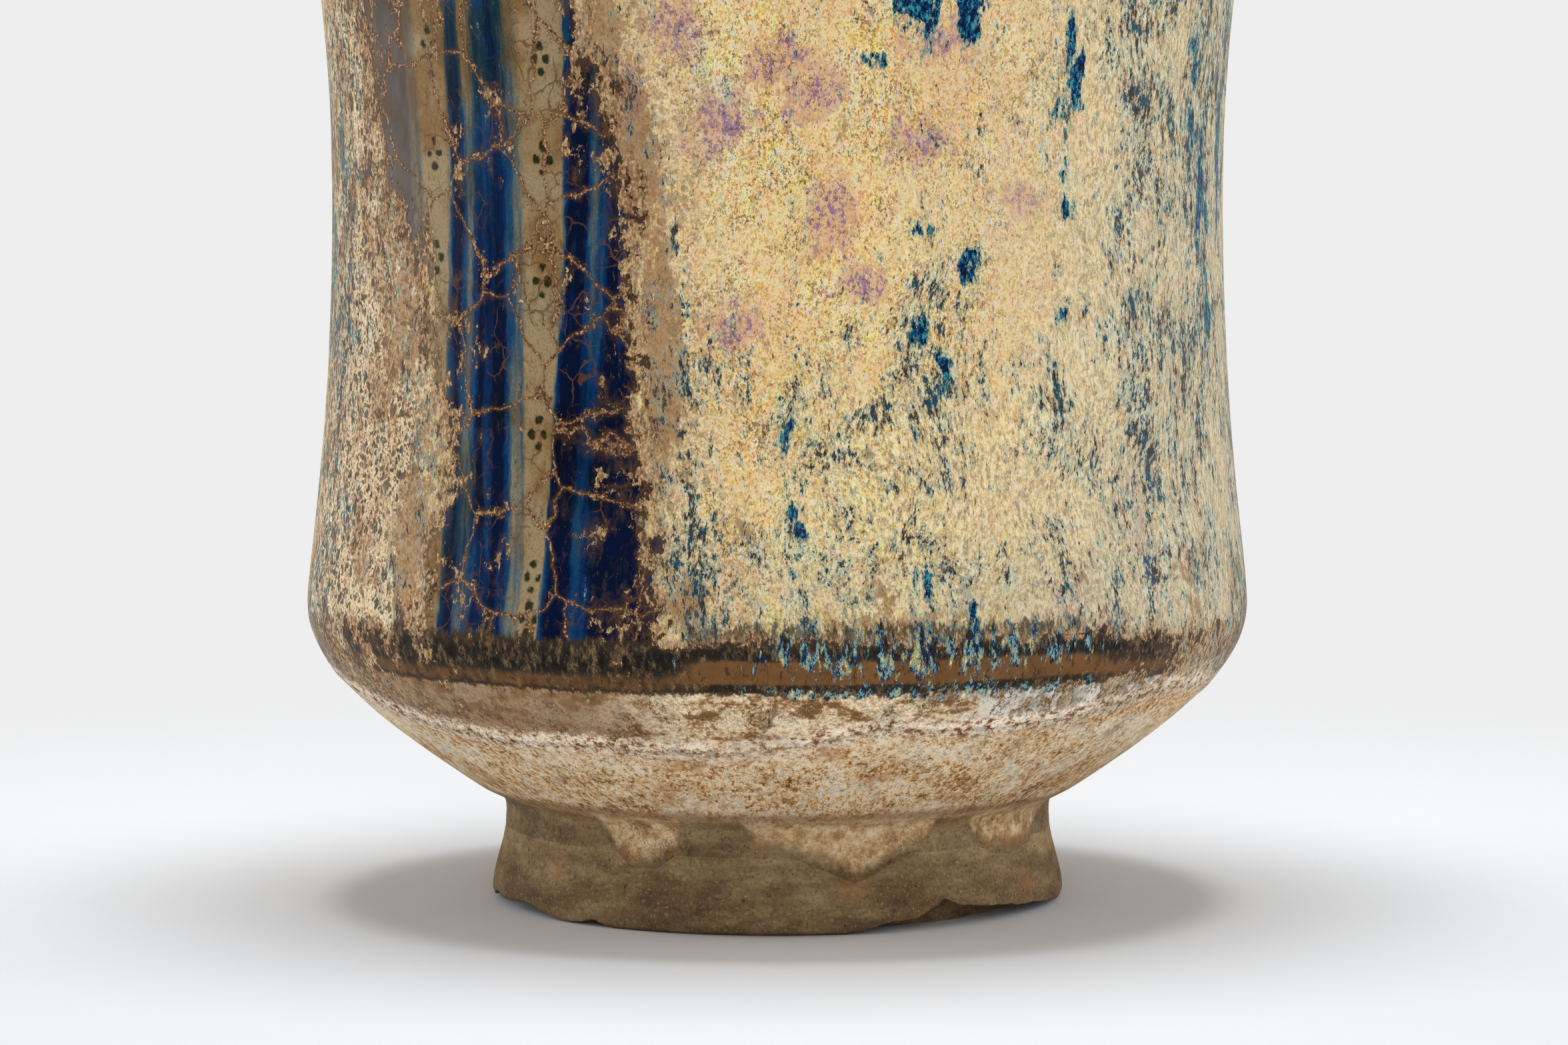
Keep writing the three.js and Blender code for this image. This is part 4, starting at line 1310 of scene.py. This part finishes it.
def lining_glaze():
    """Thin pale glaze with fine cracks, some of them stained, and dust where it is dull."""
    r = Recipe("lining_glaze")
    colour = r.mix(r.noise(14, detail=4), rgb(160, 148, 116), rgb(206, 194, 164))
    cracks = r.cracks(5.5, (1, 1, 1), r.bent(3, 3))
    share = r.fade(r.noise(12, detail=3, shift=(2, 2, 2)), 0.42, 0.6, 0.1, 0.65)
    colour = r.mix(r.times(r.fade(cracks, 0.01, 0.04, 1.0, 0.0), share), colour, rgb(112, 82, 52))
    dust = r.fade(r.noise(7, (1, 1, 0.6), 7, 0.75), 0.48, 0.6)
    colour = r.mix(r.times(dust, 0.8), colour, rgb(176, 146, 104))
    return r.finish(colour, r.fade(dust, 0, 1, 0.32, 0.75), r.bump(r.noise(1.2, detail=4), 0.15))


make_piece("glaze_lining", lining, lining_normals, lining_glaze(), "inner_glaze", "inner_glaze")


def dried_slip():
    """The slip in the seams: finer and paler than the paste, and quite dull."""
    r = Recipe("dried_slip")
    colour = r.mix(r.noise(3, detail=4), rgb(176, 156, 122), rgb(206, 190, 156))
    return r.finish(colour, 0.95, r.bump(r.noise(0.8, detail=3), 0.1))


slip_material = dried_slip()
slips = [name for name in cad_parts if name.endswith("_slip")]
for name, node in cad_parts.items():
    node.data.materials.clear()
    node.data.materials.append(slip_material if name in slips else paste_material)
print("seams with dried slip:", len(slips))

# %% [markdown]
# ## Floor and light
#
# The photograph was taken on pale paper in front of white. The light is soft and comes mostly from
# straight above, which puts the shadow of the body round the foot, with a broad fill from both
# sides and from the front. Close to the jar, the paper takes light and shadow as it falls. Farther
# off, the camera sees it at one even white, the same as the room behind it, from every side.

# %% Floor
PAPER = rgb(206, 208, 211)
BACKDROP = rgb(238, 238, 238)
PAPER_SIZE = 12000
LIT_UP_TO = 140
WHITE_FROM = 340


def seen_directly(tree):
    """1 for rays from the camera, and for those that a gloss or a clear thing sends on, and else 0."""
    rays = tree.nodes.new("ShaderNodeLightPath")
    total = rays.outputs["Is Camera Ray"]
    for kind in ("Is Glossy Ray", "Is Transmission Ray"):
        total = add_node(tree, "Math", {0: total, 1: rays.outputs[kind]}, operation="MAXIMUM")
    return total


def paper():
    """Paper that fades from a lit surface by the jar to an even white farther off."""
    material = bpy.data.materials.new("pale_paper")
    material.use_nodes = True
    tree = material.node_tree
    shader = tree.nodes["Principled BSDF"]
    shader.inputs["Base Color"].default_value = PAPER
    shader.inputs["Roughness"].default_value = 1.0
    shader.inputs["Specular IOR Level"].default_value = 0.0
    place = add_node(tree, "TexCoord", output="Object")
    away = add_node(tree, "VectorMath", {0: place}, "Value", operation="LENGTH")
    parts = {"Value": away, "From Min": LIT_UP_TO * MM, "From Max": WHITE_FROM * MM}
    far = add_node(tree, "MapRange", parts, "Result", interpolation_type="SMOOTHSTEP")
    share = add_node(tree, "Math", {0: far, 1: seen_directly(tree)}, operation="MULTIPLY")
    even = add_node(tree, "Emission", {"Color": BACKDROP})
    both = add_node(tree, "MixShader", {0: share, 1: shader.outputs[0], 2: even})
    tree.links.new(both, tree.nodes["Material Output"].inputs["Surface"])
    return material


def add_floor():
    """One flat square of paper, so wide that its far edge is lost in the white of the room."""
    half = PAPER_SIZE / 2 * MM
    corners = [(-half, -half, 0), (half, -half, 0), (half, half, 0), (-half, half, 0)]
    mesh = bpy.data.meshes.new("paper_floor")
    mesh.from_pydata(corners, [], [(0, 1, 2, 3)])
    floor = bpy.data.objects.new("paper_floor", mesh)
    bpy.context.scene.collection.objects.link(floor)
    mesh.materials.append(paper())
    floor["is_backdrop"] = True


add_floor()

# %% Light
ROOM_LIGHT = 0.32


def add_lamp(name, place, aim, size, power):
    """A square lamp at a place in millimetres, turned to its aim, with its power in watts."""
    data = bpy.data.lights.new(name, "AREA")
    data.shape = "SQUARE"
    data.size = size * MM
    data.energy = power
    lamp = bpy.data.objects.new(name, data)
    bpy.context.scene.collection.objects.link(lamp)
    lamp.location = Vector(place) * MM
    lamp.rotation_mode = "QUATERNION"
    lamp.rotation_quaternion = (Vector(aim) - Vector(place)).to_track_quat("-Z", "Y")


add_lamp("lamp_above", (0, 40, 1400), (0, 20, 60), 600, 16.8)
add_lamp("lamp_left", (-1250, 380, 420), (0, 0, 100), 900, 9.8)
add_lamp("lamp_right", (1250, 330, 460), (0, 0, 100), 900, 9.8)
add_lamp("lamp_front", (0, -1600, 420), (0, 0, 60), 800, 8.5)
world = bpy.data.worlds.new("soft_room")
world.use_nodes = True
tree = world.node_tree
soft = tree.nodes["Background"]
soft.inputs["Color"].default_value = (1, 1, 1, 1)
soft.inputs["Strength"].default_value = ROOM_LIGHT
shown = add_node(tree, "Background", {"Color": BACKDROP})
either = add_node(tree, "MixShader", {0: seen_directly(tree), 1: soft.outputs[0], 2: shown})
tree.links.new(either, tree.nodes["World Output"].inputs["Surface"])
bpy.context.scene.world = world
bpy.context.scene.view_settings.view_transform = "Standard"
print("lamps:", len(bpy.data.lights), "and a room of strength", ROOM_LIGHT)

# %% Sizes and the end
low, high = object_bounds()
print("visual model, mm:", [round((b - a) / MM, 2) for a, b in zip(low, high)])
